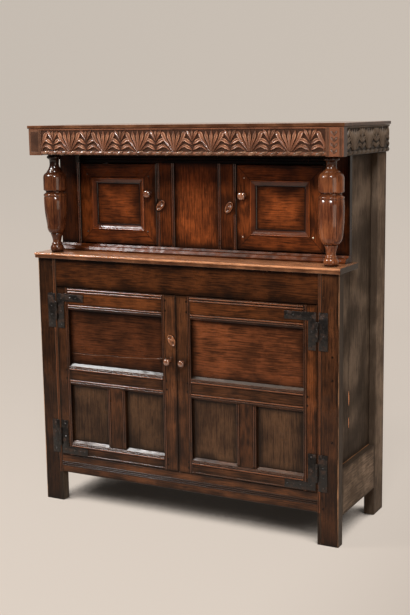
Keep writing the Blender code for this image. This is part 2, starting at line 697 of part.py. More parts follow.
def turn_button(name, at, lean, carrier, wood):
    x, face, z = at
    seat = face - FIT
    front = seat - BUTTON_THICK
    along = Vector((math.sin(lean), math.cos(lean)))
    across = Vector((along.y, -along.x))
    outline = []
    corners = 24
    for index in range(corners):
        angle = math.tau * index / corners
        offset = along * (BUTTON_LENGTH / 2 * math.cos(angle)) + across * (BUTTON_WIDTH / 2 * math.sin(angle))
        outline.append((x + offset.x, z + offset.y))
    made = prism(name, outline, 1, front, seat, wood)
    bowl = 0.32 * BUTTON_WIDTH
    for end in (-1, 1):
        offset = along * (end * BUTTON_LENGTH * 0.25)
        bm = bmesh.new()
        place = Matrix.Translation((x + offset.x, front - bowl * 0.4, z + offset.y))
        bmesh.ops.create_uvsphere(bm, u_segments=12, v_segments=8, radius=bowl, matrix=place)
        cut(made, piece(f"{name}_hollow_{end}", bm))
    tip = (x, front - BUTTON_HEAD_RISE, z)
    join(made, rod(f"{name}_pin", BUTTON_PIN_RADIUS, tip, (x, face + BUTTON_PIN_LENGTH, z), 12))
    room = BUTTON_PIN_LENGTH + FIT
    hole = rod(f"{name}_hole", BUTTON_PIN_RADIUS + RUN, (x, face - room, z), (x, face + room, z))
    cut(carrier, hole)
    hang(made, pivot(f"{name}_axis", at))


# An HL hinge: outlines are (distance from the pin, height); the arm is at the top or at the bottom
def hinge(name, pin, direction, z_low, arm_up, iron):
    z_high = z_low + HINGE_HEIGHT
    clear = KNUCKLE_RADIUS + RUN
    middle = (z_low + z_high) / 2
    door_knuckle = (middle - KNUCKLE_LENGTH / 2 + FIT, middle + KNUCKLE_LENGTH / 2 - FIT)
    ends = (middle - 1.5 * KNUCKLE_LENGTH, middle + 1.5 * KNUCKLE_LENGTH)
    front, rear = FACE - FIT - HINGE_PLATE, FACE - FIT

    def level(height):
        return z_low + height if not arm_up else z_high - height

    def plate(label, outline):
        points = [(pin.x + direction * across, height) for across, height in outline]
        return prism(f"{name}_{label}", points, 1, front, rear, iron)

    arm, leaf = HINGE_ARM_LENGTH, HINGE_LEAF_WIDTH
    tab = sorted(door_knuckle, reverse=arm_up)
    door_outline = [(clear, level(0.0)), (arm - ARRIS, level(0.0)), (arm, level(ARRIS))]
    door_outline += [(arm, level(HINGE_ARM_HEIGHT - ARRIS)), (arm - ARRIS, level(HINGE_ARM_HEIGHT))]
    door_outline += [(leaf, level(HINGE_ARM_HEIGHT)), (leaf, level(HINGE_HEIGHT))]
    door_outline += [(clear, level(HINGE_HEIGHT)), (clear, tab[1])]
    door_outline += [(0.0, tab[1]), (0.0, tab[0]), (clear, tab[0])]
    door_leaf = plate("door_leaf", door_outline)
    inside, outside = HINGE_PIN_RADIUS + RUN, KNUCKLE_RADIUS
    join(door_leaf, tube(f"{name}_door_knuckle", pin, inside, outside, *door_knuckle))

    lower, upper = middle - KNUCKLE_LENGTH / 2, middle + KNUCKLE_LENGTH / 2
    post_outline = [(-HINGE_POST_WIDTH, z_low), (-clear, z_low)]
    post_outline += [(-clear, ends[0]), (0.0, ends[0]), (0.0, lower)]
    post_outline += [(-clear, lower), (-clear, upper), (0.0, upper), (0.0, ends[1]), (-clear, ends[1])]
    post_outline += [(-clear, z_high), (-HINGE_POST_WIDTH, z_high)]
    post_leaf = plate("post_leaf", post_outline)
    steps = [(outside, ends[0], 0), (outside, lower, 0), (HINGE_PIN_RADIUS, lower, 0)]
    steps += [(HINGE_PIN_RADIUS, upper, 0), (outside, upper, 0), (outside, ends[1], 0), (0.0, ends[1], 0)]
    place = Matrix.Translation((pin.x, pin.y, 0.0))
    join(post_leaf, turned(f"{name}_pin", lathe_line((0.0, ends[0]), steps), 16, place))
    return door_leaf


# A short tube round the hinge pin
def tube(name, pin, inside, outside, z_low, z_high, sides=16):
    bm = bmesh.new()
    corners = [(inside, z_low), (outside, z_low), (outside, z_high), (inside, z_high)]
    verts = [bm.verts.new((pin.x + radius, pin.y, height)) for radius, height in corners]
    edges = [bm.edges.new(pair) for pair in zip(verts, verts[1:] + verts[:1])]
    bmesh.ops.spin(
        bm,
        geom=verts + edges,
        axis=(0, 0, 1),
        cent=(pin.x, pin.y, 0),
        angle=math.tau,
        steps=sides,
        use_merge=True,
    )
    return piece(name, bm)


# Lower doors: framed, with one wide panel over two small ones
def lower_door(side, hinge_x, lock_x, oak, panel_oak, iron, wood):
    direction = 1 if lock_x > hinge_x else -1
    width = abs(lock_x - hinge_x)
    z_low, z_high = DOOR_LOW, DOOR_HIGH
    name = f"lower_door_{side}"
    pin = Vector((hinge_x - direction * DOOR_GAP / 2, FACE - KNUCKLE_OUT, 0.0))
    axis = pivot(f"{name}_axis", pin)

    def x_range(first, last):
        return sorted((hinge_x + direction * first, hinge_x + direction * last))

    outline = section(
        HINGE_STILE_WIDTH, DOOR_THICK, plain_edge(), scratched_edge(), near_groove=False, far_groove=True
    )
    hinge_stile = post(f"{name}_hinge_stile", outline, hinge_x, direction, z_low, z_high, FACE, oak)
    outline = section(
        LOCK_STILE_WIDTH, DOOR_THICK, plain_edge(), scratched_edge(), near_groove=False, far_groove=True
    )
    lock_stile = post(f"{name}_lock_stile", outline, lock_x, -direction, z_low, z_high, FACE, oak)

    first, last = HINGE_STILE_WIDTH, width - LOCK_STILE_WIDTH
    rail_x = x_range(first + FIT, last - FIT)
    stub_x = x_range(first - PANEL_REACH, last + PANEL_REACH)
    groove = [FACE + depth for depth in panel_depths(DOOR_THICK)]

    def stub(label, low, high):
        low_corner = (stub_x[0], groove[0], low + STUB_SHOULDER)
        return board(f"{name}_{label}", low_corner, (stub_x[1], groove[1], high - STUB_SHOULDER), arris=0)

    bottom_top = z_low + DOOR_BOTTOM_RAIL
    middle_low = bottom_top + LOWER_PANEL_HEIGHT
    middle_top = middle_low + DOOR_MIDDLE_RAIL
    top_low = z_high - DOOR_TOP_RAIL
    outline = section(DOOR_TOP_RAIL, DOOR_THICK, ovolo_edge(), reeded_edge(), near_groove=True)
    top_rail = rail(f"{name}_top_rail", outline, *rail_x, top_low, FACE, oak)
    join(top_rail, stub("top_stub", top_low, z_high))

    outline = section(
        DOOR_MIDDLE_RAIL, DOOR_THICK, ovolo_edge(), sill_edge(), near_groove=True, far_groove=True
    )
    ladder = rail(f"{name}_lower_rails", outline, *rail_x, middle_low, FACE, oak)
    outline = section(DOOR_BOTTOM_RAIL, DOOR_THICK, plain_edge(), sill_edge(), far_groove=True)
    join(ladder, rail(f"{name}_bottom_rail", outline, *rail_x, z_low, FACE))
    outline = section(
        DOOR_MUNTIN_WIDTH,
        DOOR_THICK - 2 * MUNTIN_SINK,
        scratched_edge(),
        scratched_edge(),
        near_groove=True,
        far_groove=True,
        cheek=GROOVE_CHEEK - MUNTIN_SINK,
    )
    centre = (first + last) / 2
    muntin_x = hinge_x + direction * (centre - DOOR_MUNTIN_WIDTH / 2)
    muntin = post(
        f"{name}_muntin",
        outline,
        muntin_x,
        direction,
        bottom_top - DOOR_BOTTOM_RAIL / 2,
        middle_low + DOOR_MIDDLE_RAIL / 2,
        FACE + MUNTIN_SINK,
    )
    join(ladder, muntin)
    join(ladder, stub("middle_stub", middle_low, middle_top))
    join(ladder, stub("bottom_stub", z_low, bottom_top))

    def panel(label, span, low, high):
        x_low, x_high = x_range(span[0] - PANEL_REACH, span[1] + PANEL_REACH)
        return board(
            f"{name}_{label}",
            (x_low, groove[0], low - PANEL_REACH),
            (x_high, groove[1], high + PANEL_REACH),
            panel_oak,
            ARRIS / 2,
        )

    half_muntin = DOOR_MUNTIN_WIDTH / 2
    panels = [
        panel("upper_panel", (first, last), middle_top, top_low),
        panel("hinge_panel", (first, centre - half_muntin), bottom_top, middle_low),
        panel("lock_panel", (centre + half_muntin, last), bottom_top, middle_low),
    ]
    leaves = [
        hinge(f"{side}_top_hinge", pin, direction, z_high - HINGE_TOP_DROP - HINGE_HEIGHT, True, iron),
        hinge(f"{side}_bottom_hinge", pin, direction, z_low + HINGE_BOTTOM_RISE, False, iron),
    ]
    knob_x = lock_x - direction * LOCK_STILE_WIDTH / 2
    handle = knob(f"lower_knob_{side}", knob_x, DOOR_LOW + LOWER_KNOB_RISE, FACE, lock_stile, wood)
    for obj in [hinge_stile, lock_stile, top_rail, ladder, handle, *panels, *leaves]:
        hang(obj, axis)
    return lock_stile


# Upper doors: mitred frames with a bolection moulding, turning on pins in the rails
# The section is swept round four corners, and the corners are then drawn out to the door's width
def mitred_frame(name, x_low, x_high, z_low, z_high, profile, material):
    half = (z_high - z_low) / 2
    bm = bmesh.new()
    verts = [bm.verts.new((half - inset, UPPER_FACE + depth, half - inset)) for inset, depth in profile]
    edges = [bm.edges.new(pair) for pair in zip(verts, verts[1:] + verts[:1])]
    bmesh.ops.spin(
        bm, geom=verts + edges, axis=(0, 1, 0), cent=(0, 0, 0), angle=math.tau, steps=4, use_merge=True
    )
    stretch = (x_high - x_low) / 2 - half
    for vert in bm.verts:
        vert.co.x += (x_low + x_high) / 2 + stretch * math.copysign(1.0, vert.co.x)
        vert.co.z += (z_low + z_high) / 2
    return piece(name, bm, material)


def upper_door_profile():
    width, mould = UPPER_FRAME_WIDTH, UPPER_MOULD_WIDTH
    panel_front = UPPER_PANEL_SINK
    panel_back = panel_front + UPPER_PANEL_THICK + 2 * FIT
    sight = width + mould
    points = [(0.0, UPPER_THICK), (0.0, UPPER_EDGE_ROUND), (UPPER_EDGE_ROUND, 0.0), (width, 0.0)]
    crown_steps = 4
    for step in range(crown_steps + 1):
        angle = math.pi * step / crown_steps
        across = width + 0.36 * mould * (1 - math.cos(angle)) / 2
        points.append((across, -UPPER_MOULD_RISE * math.sin(angle) - UPPER_MOULD_FILLET))
    points += [(width + 0.44 * mould, 0.1 * panel_front), (width + 0.6 * mould, 0.2 * panel_front)]
    points += [(width + 0.8 * mould, 0.5 * panel_front), (width + 0.86 * mould, 0.72 * panel_front)]
    points += [(sight, 0.78 * panel_front), (sight, panel_front)]
    points += [(sight - GROOVE_DEPTH, panel_front), (sight - GROOVE_DEPTH, panel_back)]
    return points + [(sight, panel_back), (sight, UPPER_THICK)]


def upper_door(side, hinge_x, lock_x, base, top, oak, panel_oak, wood):
    direction = 1 if lock_x > hinge_x else -1
    name = f"upper_door_{side}"
    x_low, x_high = sorted((hinge_x, lock_x))
    z_low, z_high = BASE_TOP + DOOR_GAP, UPPER_RAIL_LOW - DOOR_GAP
    frame = mitred_frame(f"{name}_frame", x_low, x_high, z_low, z_high, upper_door_profile(), oak)
    pin = Vector((hinge_x + direction * PIVOT_INSET, UPPER_FACE + PIVOT_INSET, 0.0))
    axis = pivot(f"{name}_axis", pin)
    for label, end, outward, carrier in (("foot", z_low, -1, base), ("head", z_high, 1, top)):
        inner = pin + Vector((0, 0, end - outward * PIVOT_LENGTH))
        outer = pin + Vector((0, 0, end + outward * PIVOT_LENGTH))
        beyond = pin + Vector((0, 0, end + outward * (PIVOT_LENGTH + RUN)))
        join(frame, rod(f"{name}_{label}_pin", PIVOT_RADIUS, inner, outer))
        cut(carrier, rod(f"{name}_{label}_hole", PIVOT_RADIUS + RUN, inner, beyond))
    reach = UPPER_FRAME_WIDTH + UPPER_MOULD_WIDTH - PANEL_REACH
    front = UPPER_FACE + UPPER_PANEL_SINK + FIT
    panel = board(
        f"{name}_panel",
        (x_low + reach, front, z_low + reach),
        (x_high - reach, front + UPPER_PANEL_THICK, z_high - reach),
        panel_oak,
        ARRIS / 2,
    )
    knob_x = lock_x - direction * UPPER_KNOB_INSET
    handle = knob(f"upper_knob_{side}", knob_x, LEDGE_TOP + UPPER_KNOB_RISE, UPPER_FACE, frame, wood)
    for obj in (frame, panel, handle):
        hang(obj, axis)


def main():
    for obj in list(bpy.data.objects):
        bpy.data.objects.remove(obj)
    oak = finish("polished_oak", (0.32, 0.17, 0.09), 0.35)
    panel_oak = finish("panel_oak", (0.36, 0.18, 0.08), 0.32)
    worn_oak = finish("worn_oak", (0.30, 0.24, 0.19), 0.6)
    turned_oak = finish("turned_oak", (0.40, 0.19, 0.10), 0.25)
    iron = finish("wrought_iron", (0.09, 0.08, 0.08), 0.6, 0.8)

    stiles = front_stiles(oak)
    case_rails(stiles, oak)
    case_sides(worn_oak)
    back_boards(worn_oak)
    cupboard_floor(worn_oak)
    ledge = ledge_board(oak)
    base, top, muntins = upper_frame(oak, panel_oak)
    soffit = frieze(oak, worn_oak)
    pillars(ledge, soffit, turned_oak)

    meetings = {"left": DOOR_MEETING - DOOR_GAP / 2, "right": DOOR_MEETING + DOOR_GAP / 2}
    lock_stiles = {}
    for side, sign in SIDES.items():
        hinge_x = sign * (OPENING - DOOR_GAP)
        lock_stiles[side] = lower_door(side, hinge_x, meetings[side], oak, panel_oak, iron, turned_oak)
        hinge_x, lock_x = sign * (UPPER_OPENING - DOOR_GAP), sign * (MUNTIN_OUTER + DOOR_GAP)
        upper_door(side, hinge_x, lock_x, base, top, oak, panel_oak, turned_oak)
        button_x = sign * (MUNTIN_OUTER - UPPER_BUTTON_EDGES[side])
        at = Vector((button_x, UPPER_FACE, LEDGE_TOP + UPPER_BUTTON_RISE))
        turn_button(f"upper_turn_button_{side}", at, UPPER_BUTTON_TILTS[side], muntins[side], turned_oak)
    at = Vector((DOOR_MEETING - LOWER_BUTTON_EDGE, FACE, DOOR_LOW + LOWER_BUTTON_RISE))
    turn_button("lower_turn_button", at, LOWER_BUTTON_TILT, lock_stiles["left"], turned_oak)


main()
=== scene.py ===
"""Looks for a joined oak press cupboard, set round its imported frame.

Metres, +Z up, and the front faces -Y. The file is laid out as an add-on and run as a script.
"""

import math
from functools import partial

import bmesh
import bpy
from bpy.props import FloatProperty, FloatVectorProperty, IntProperty, PointerProperty
from mathutils import Matrix, Vector, noise


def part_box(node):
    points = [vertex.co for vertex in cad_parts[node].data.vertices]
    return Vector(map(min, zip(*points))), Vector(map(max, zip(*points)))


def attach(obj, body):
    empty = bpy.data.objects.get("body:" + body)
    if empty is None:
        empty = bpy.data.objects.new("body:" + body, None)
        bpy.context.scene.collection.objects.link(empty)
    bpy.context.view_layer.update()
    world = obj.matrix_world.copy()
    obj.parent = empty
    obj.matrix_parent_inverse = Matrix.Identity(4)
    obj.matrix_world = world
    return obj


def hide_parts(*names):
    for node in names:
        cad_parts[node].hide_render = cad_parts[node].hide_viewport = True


bl_info = {
    "name": "Joined oak press cupboard",
    "version": (1, 0, 0),
    "blender": (4, 5, 0),
    "location": "3D View > Sidebar > Cupboard",
    "description": "Carves, turns, polishes and lights an old oak press cupboard",
    "category": "Object",
}

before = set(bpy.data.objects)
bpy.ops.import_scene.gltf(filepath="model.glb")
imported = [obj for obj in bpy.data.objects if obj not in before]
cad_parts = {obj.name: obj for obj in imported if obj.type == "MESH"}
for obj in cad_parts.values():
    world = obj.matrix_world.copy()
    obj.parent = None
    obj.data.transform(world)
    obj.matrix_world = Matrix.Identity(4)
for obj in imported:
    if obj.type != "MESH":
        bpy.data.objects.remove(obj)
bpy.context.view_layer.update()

SIDES = {"left": -1, "right": 1}
X, Y, Z = 0, 1, 2
FRONT_FACING = Vector((0, -1, 0))

# Distances that the solids were made with, needed where a carving or a moulding sits on them
FRIEZE_SINK = 0.004
FRIEZE_ROLL = 0.009
FRIEZE_ROLL_RISE = 0.001
FRIEZE_BLOCKS = {"left": 0.058, "right": 0.068}
MUNTIN_HALF = 0.041
PIN_REACH = Vector((0.0, 0.0, 0.012))
PIN_ROOM = 0.0004
PANEL_REACH = 0.0077


def linear(code):
    """A hex sRGB colour as linear red, green and blue."""
    channels = [int(code[index : index + 2], 16) / 255 for index in (0, 2, 4)]
    return [c / 12.92 if c <= 0.04045 else ((c + 0.055) / 1.055) ** 2.4 for c in channels]


def colour(label, note, code):
    return FloatVectorProperty(
        name=label, description=note, default=linear(code), size=3, min=0.0, max=1.0, subtype="COLOR"
    )


def size(label, note, value):
    return FloatProperty(name=label, description=note, default=value, min=0.0, unit="LENGTH")


def share(label, note, value):
    return FloatProperty(name=label, description=note, default=value, min=0.0, max=1.0, subtype="FACTOR")


def power(label, note, value):
    return FloatProperty(name=label, description=note, default=value, min=0.0, unit="POWER")


# Where each finish is found, then its dark shade, used for dirt and for painted shade, its body colour and
# its glow where it has been rubbed, which on crests also paints highlights
FINISHES = {
    "rail": ("the front rails", "150903", "4b2914", "7c4523"),
    "stile": ("the front posts", "140b06", "3b2213", "5f3921"),
    "panel": ("the wide panels", "1a0b04", "522d17", "83492a"),
    "upper": ("the upper stage", "180903", "592a11", "924a22"),
    "small_panel": ("the small lower panels", "1e120a", "4a3120", "6d4d34"),
    "ledge": ("the ledge and the top", "2c170c", "8a5a3d", "a3714f"),
    "turned": ("the turned work", "1c0c06", "5a2e1b", "87502f"),
    "handled": ("the knobs and buttons", "2c150b", "74432b", "a06b4a"),
    "side": ("the dry sides", "1f1812", "453a30", "65574a"),
    "carved": ("the carved frieze", "321e14", "653f2c", "a87f64"),
    "block": ("the ends of the frieze", "26170f", "4d3122", "6b4834"),
    "inside": ("the inside", "3a2c1f", "6b5440", "8d7358"),
}
# The descriptions call the dark shade dirt; it is also the colour of the painted shade in corners, along
# joints and under the frieze
WEAR = {"shade": "Dirt", "body": "Oak", "glow": "Rubbed parts"}


class OakColours(bpy.types.PropertyGroup):
    """Bare wood and iron; the three colours of each finish are added below."""

    bare: colour("Bare oak", "Arrises that are rubbed to the wood, and fresh splinters", "b98760")
    iron_black: colour("Iron black", "Blackened wrought iron", "16110e")
    iron_rust: colour("Iron rust", "Rust that shows through the black", "352216")


for finish, (where, *codes) in FINISHES.items():
    for (part, seen), code in zip(WEAR.items(), codes):
        label = f"{finish} {part}".replace("_", " ").capitalize()
        OakColours.__annotations__[f"{finish}_{part}"] = colour(label, f"{seen} of {where}", code)


class WoodSizes(bpy.types.PropertyGroup):
    """How large the figure of the oak is, and how it shines."""

    streak_width: size("Streak width", "Across one streak of the oak's figure", 0.007)
    ring_width: size("Ring width", "From one growth ring to the next", 0.009)
    pore_width: size("Pore width", "Across one row of pores, coarser than life so that it shows", 0.0032)
    patch_width: size("Patch width", "Across one patch of rubbed or dull wax", 0.12)
    stain_width: size("Stain width", "Across one dark stain", 0.24)
    scuff_width: size("Scuff width", "Across one small scuff", 0.012)
    ripple_width: size("Ripple width", "Across one hollow left by the plane", 0.045)
    # Painted shade: how far the darkening from ambient occlusion reaches out of a corner
    crevice_shade_reach: size("Crevice reach", "How far dirt creeps out of a corner", 0.022)
    # These two darken the colour towards the floor: up to what height, and how much of the oak's colour is
    # left at the foot
    floor_darkening_height: size("Soot height", "How high soot from the floor darkens the case", 0.32)
    floor_darkening_left: share("Soot left", "How much of the oak's colour shows through the soot", 0.55)
    rub_width: size("Rub width", "How far from an arris the wood is rubbed pale", 0.0045)
    grain_stretch: FloatProperty(
        name="Grain stretch", description="How many times longer than wide a streak is", default=9.0, min=1.0
    )
    wax_roughness: share("Wax roughness", "Roughness of the waxed front", 0.3)
    dry_roughness: share("Dry roughness", "Roughness of the dry sides and of the inside", 0.62)
    coat: share("Wax coat", "How much of the wax lies on top as a clear coat", 0.16)


class CarvingSizes(bpy.types.PropertyGroup):
    """The frieze: palmettes over low arched leaves, and slanting nulls on the roll beneath."""

    palmettes: IntProperty(name="Palmettes", description="How many stand along the front", default=7, min=1)
    pitch: size("Pitch", "From one palmette to the next", 0.157)
    height: size("Palmette height", "Of the upright middle leaf", 0.075)
    leaf_width: size("Leaf width", "Across the widest part of a leaf", 0.0158)
    relief: size("Relief", "How far the leaves stand out of the ground", 0.0058)
    null_pitch: size("Null pitch", "From one slanting null to the next", 0.043)
    null_width: size("Null width", "Across one null", 0.013)


class BeadSizes(bpy.types.PropertyGroup):
    """Round beads between the scratched lines that the solids have."""

    first: size("First line", "From a member's edge to its first scratched line", 0.006)
    pitch: size("Line pitch", "From one scratched line of a post to the next", 0.007)
    reed_pitch: size("Reed pitch", "From one scratched line of a door's rail to the next", 0.010)
    reed: size("Reed line", "From a top rail's upper edge to its first scratched line", 0.012)
    ovolo: size("Ovolo", "Width of the rounded edge over a panel", 0.008)
    sill: size("Sill", "Width of the sloping edge under a panel", 0.012)
    slope: share("Slope", "Rise of a bead as a share of its width", 0.38)
    button_room: size("Button room", "From a turn-button's pin to the beads' ends round it", 0.0265)


class FixingSizes(bpy.types.PropertyGroup):
    """Pegs of the joints and nails of the ironwork."""

    peg_width: size("Peg width", "Across a whittled peg", 0.0095)
    peg_rise: size("Peg rise", "How far a peg stands out", 0.0012)
    nail_width: size("Nail width", "Across a rose-headed nail", 0.0085)
    nail_rise: size("Nail rise", "Height of a rose head", 0.0028)
    crack_width: size("Crack width", "Opening of the crack in the left panel", 0.0014)


class StageSettings(bpy.types.PropertyGroup):
    """The plain studio round the cupboard."""

    floor: colour("Floor", "Paper of the floor", "d8ccc0")
    # Painted shade: the paper is coloured darker under the right-hand side
    floor_right_shaded: colour("Floor on the right", "Paper under the right-hand side, which is dimmer", "bcb0a5")
    wall: colour("Wall", "Paper where it rises behind", "d0c6bb")
    sky: colour("Room light", "Colour of the light from all round", "dcd6d0")
    sky_strength: FloatProperty(
        name="Room strength", description="Strength of the light from all round", default=0.17, min=0.0
    )
    glow: share("Paper glow", "How much of the paper's colour is seen whatever the lamps do", 0.85)
    side_power: power("Side lamp", "Soft box high on the left", 100.0)
    front_power: power("Front lamp", "Soft box above the camera", 165.0)
    bounce_power: power("Bounce lamp", "Dim soft box over the front", 20.0)
    window_power: power("Window", "Tall soft light on the right", 45.0)
    lamplight: colour("Lamplight", "Warmth of the two dimmer lights", "ffe9d4")
    lens: FloatProperty(name="Lens", description="Focal length on a 36 mm frame", default=66.29, min=1.0)


# Nodes and materials

EASE = {"interpolation_type": "SMOOTHSTEP"}
RGBA = {"data_type": "RGBA"}
# From band to band of a wave at scale 1
WAVE_SPACING = 0.314
DUST_WIDTH, GRIT_WIDTH = 0.05, 0.006
RUST_WIDTH, HAMMER_WIDTH = 0.02, 0.009


def add_node(tree, kind, inputs=None, out=0, **settings):
    """Adds a node and gives one of its outputs; inputs maps sockets to values or to other outputs."""
    node = tree.nodes.new(f"ShaderNode{kind}")
    for name, value in settings.items():
        setattr(node, name, value)
    for socket, value in (inputs or {}).items():
        if isinstance(value, bpy.types.NodeSocket):
            tree.links.new(value, node.inputs[socket])
        else:
            node.inputs[socket].default_value = value
    return node.outputs[out] if node.outputs else node


def bare_material(name):
    """A new empty material, and add_node bound to its tree."""
    material = bpy.data.materials.new(name)
    material.use_nodes = True
    material.node_tree.nodes.clear()
    return material, partial(add_node, material.node_tree)


def finish_colours(finish, tone=1.0):
    """The shade, body and glow of a finish, made lighter or darker by a tone."""
    colours = bpy.context.scene.cupboard_colours
    parts = [getattr(colours, f"{finish}_{part}") for part in WEAR]
    return [(*(tone * channel for channel in part), 1.0) for part in parts]


def edge_distances(add, parts, box, axes):
    """How far a point lies inside the box's edges, along each axis."""
    low, high = box
    distances = []
    for axis in axes:
        middle, half = (low[axis] + high[axis]) / 2, (high[axis] - low[axis]) / 2
        across = add("Math", {0: parts[axis], 1: middle}, operation="SUBTRACT")
        across = add("Math", {0: across}, operation="ABSOLUTE")
        distances.append(add("Math", {0: half, 1: across}, operation="SUBTRACT"))
    return distances


# Old oak under wax: streaks and rings along the grain, open pores, painted shade in every corner, dirt along
# the edges of each member that also paints the shade where it meets or lies under another, a colour darker
# towards the floor, a warm glow where cloths have rubbed it, and a soft shine that the plane left uneven
def old_oak(
    name, finish, grain, box, face, edge_darkening, rough=None, turned=None, axes=None, tone=1.0, ripple=1.0,
    coat=None, rub=(), dry_ends=None, stain=0.3, polish=1.5,
):
    wood = bpy.context.scene.cupboard_wood
    shade, body, glow = finish_colours(finish, tone)
    rough = wood.wax_roughness if rough is None else rough
    edge_darkening = max(edge_darkening, 0.0002)
    if coat is None:
        coat = wood.coat if rough < wood.dry_roughness else 0.0
    material, add = bare_material(name)
    place = add("TexCoord", out="Object")
    parts = add("SeparateXYZ", {0: place}).node.outputs
    distances = edge_distances(add, parts, box, axes or [axis for axis in (X, Y, Z) if axis != face])

    # Figure of the wood, along the grain
    runs = []
    for axis in (grain, Z):
        stretch = [1.0, 1.0, 1.0]
        stretch[axis] = 1 / wood.grain_stretch
        runs.append(add("Mapping", {"Vector": place, "Scale": stretch}))
    vector = runs[0]
    if turned:
        mask, apart = turned(add, parts, distances)
        vector = add("Mix", {0: mask, 4: runs[0], 5: runs[1]}, 1, data_type="VECTOR")

    pattern = {}
    for label, along, width, detail, roughness in (
        ("streaks", vector, wood.streak_width, 5.0, 0.68),
        ("pores", vector, wood.pore_width, 1.0, 0.5),
        ("patches", place, wood.patch_width, 3.0, 0.6),
        ("scuffs", place, wood.scuff_width, 2.0, 0.6),
        ("ripples", place, wood.ripple_width, 1.0, 0.5),
        ("stains", place, wood.stain_width, 2.0, 0.5),
    ):
        inputs = {"Vector": along, "Scale": 1 / width, "Detail": detail, "Roughness": roughness}
        pattern[label] = add("TexNoise", inputs, "Fac")
    across = [axis for axis in (X, Z, Y) if axis not in (grain, face)][0]
    ring = {"Vector": vector, "Scale": WAVE_SPACING / wood.ring_width, "Distortion": 16.0, "Detail": 3.0}
    ring["Detail Scale"] = 0.7
    rings = add("TexWave", ring, "Fac", bands_direction="XYZ"[across])
    figure = add("Mix", {0: 0.12, 2: pattern["streaks"], 3: rings})

    # What dirt, painted shade, the darkening towards the floor and stains leave clean and unshaded
    # Dirt along the member's edges, which also paints the shade where it meets or lies under another member
    near = distances[0]
    for other in distances[1:]:
        near = add("Math", {0: near, 1: other}, operation="MINIMUM")
    ragged = add("Math", {0: pattern["patches"], 1: 1.6 * edge_darkening, 2: near}, operation="MULTIPLY_ADD")
    rubbed = add("MapRange", {0: ragged, 1: 0.5 * edge_darkening, 2: 2.2 * edge_darkening}, **EASE)
    # Painted shade: ambient occlusion darkens every corner and crevice
    painted_occlusion = add("AmbientOcclusion", {"Distance": wood.crevice_shade_reach}, "AO", samples=4)
    clear = add("MapRange", {0: painted_occlusion, 1: 0.4, 2: 0.95}, **EASE)
    clean_and_unshaded = add("Math", {0: rubbed, 1: clear}, operation="MULTIPLY")
    # Darker towards the floor
    floor_darkened = {0: pattern["patches"], 1: wood.floor_darkening_height, 2: parts[Z]}
    floor_darkened = add("Math", floor_darkened, operation="MULTIPLY_ADD")
    floor_darkened = {0: floor_darkened, 1: 0.7 * wood.floor_darkening_height, 2: 1.7 * wood.floor_darkening_height, 3: wood.floor_darkening_left, 4: 1.0}
    stained = {0: pattern["stains"], 1: 0.33, 2: 0.67, 3: 1 - stain, 4: 1.0}
    covers = [floor_darkened, stained]
    if turned:
        covers.append({0: apart, 1: 0.0004, 2: 0.003, 3: 0.1, 4: 1.0})
    for cover in covers:
        left = add("MapRange", cover, **EASE)
        clean_and_unshaded = add("Math", {0: clean_and_unshaded, 1: left}, operation="MULTIPLY")

    # Colour
    dark = add("MapRange", {0: figure, 1: 0.3, 2: 0.6, 3: 0.45, 4: 1.0}, **EASE)
    wooden = add("Mix", {0: dark, 6: shade, 7: body}, 2, **RGBA)
    warm = add("Math", {0: figure, 1: pattern["patches"]}, operation="ADD")
    warm = add("MapRange", {0: warm, 1: 0.8, 2: 1.25, 3: 0.0, 4: 0.85}, **EASE)
    wooden = add("Mix", {0: warm, 6: wooden, 7: glow}, 2, **RGBA)
    scuffed = add("MapRange", {0: pattern["scuffs"], 1: 0.58, 2: 0.75, 3: 0.0, 4: 0.3}, **EASE)
    wooden = add("Mix", {0: scuffed, 6: wooden, 7: glow}, 2, **RGBA)
    pored = add("MapRange", {0: pattern["pores"], 1: 0.48, 2: 0.72, 3: 0.0, 4: 0.3}, **EASE)
    wooden = add("Mix", {0: pored, 6: wooden, 7: shade}, 2, **RGBA)
    clean_and_unshaded = add("MapRange", {0: clean_and_unshaded, 3: 0.06, 4: 1.0})
    wooden = add("Mix", {0: clean_and_unshaded, 6: shade, 7: wooden}, 2, **RGBA)
    # Arrises rubbed pale; on the ledge this also paints the highlight along its front
    if rub:
        away = add("Math", {0: pattern["patches"], 1: 2.4 * wood.rub_width}, operation="MULTIPLY")
        for axis, sign in rub:
            edge = add("Math", {0: away, 1: sign * box[sign > 0][axis]})
            away = add("Math", {0: parts[axis], 1: -sign, 2: edge}, operation="MULTIPLY_ADD")
        rubbed = {0: away, 1: 0.9 * wood.rub_width, 2: 2.2 * wood.rub_width, 3: 0.9, 4: 0.0}
        rubbed = add("MapRange", rubbed, **EASE)
        bare = (*bpy.context.scene.cupboard_colours.bare, 1.0)
        wooden = add("Mix", {0: rubbed, 6: wooden, 7: bare}, 2, **RGBA)

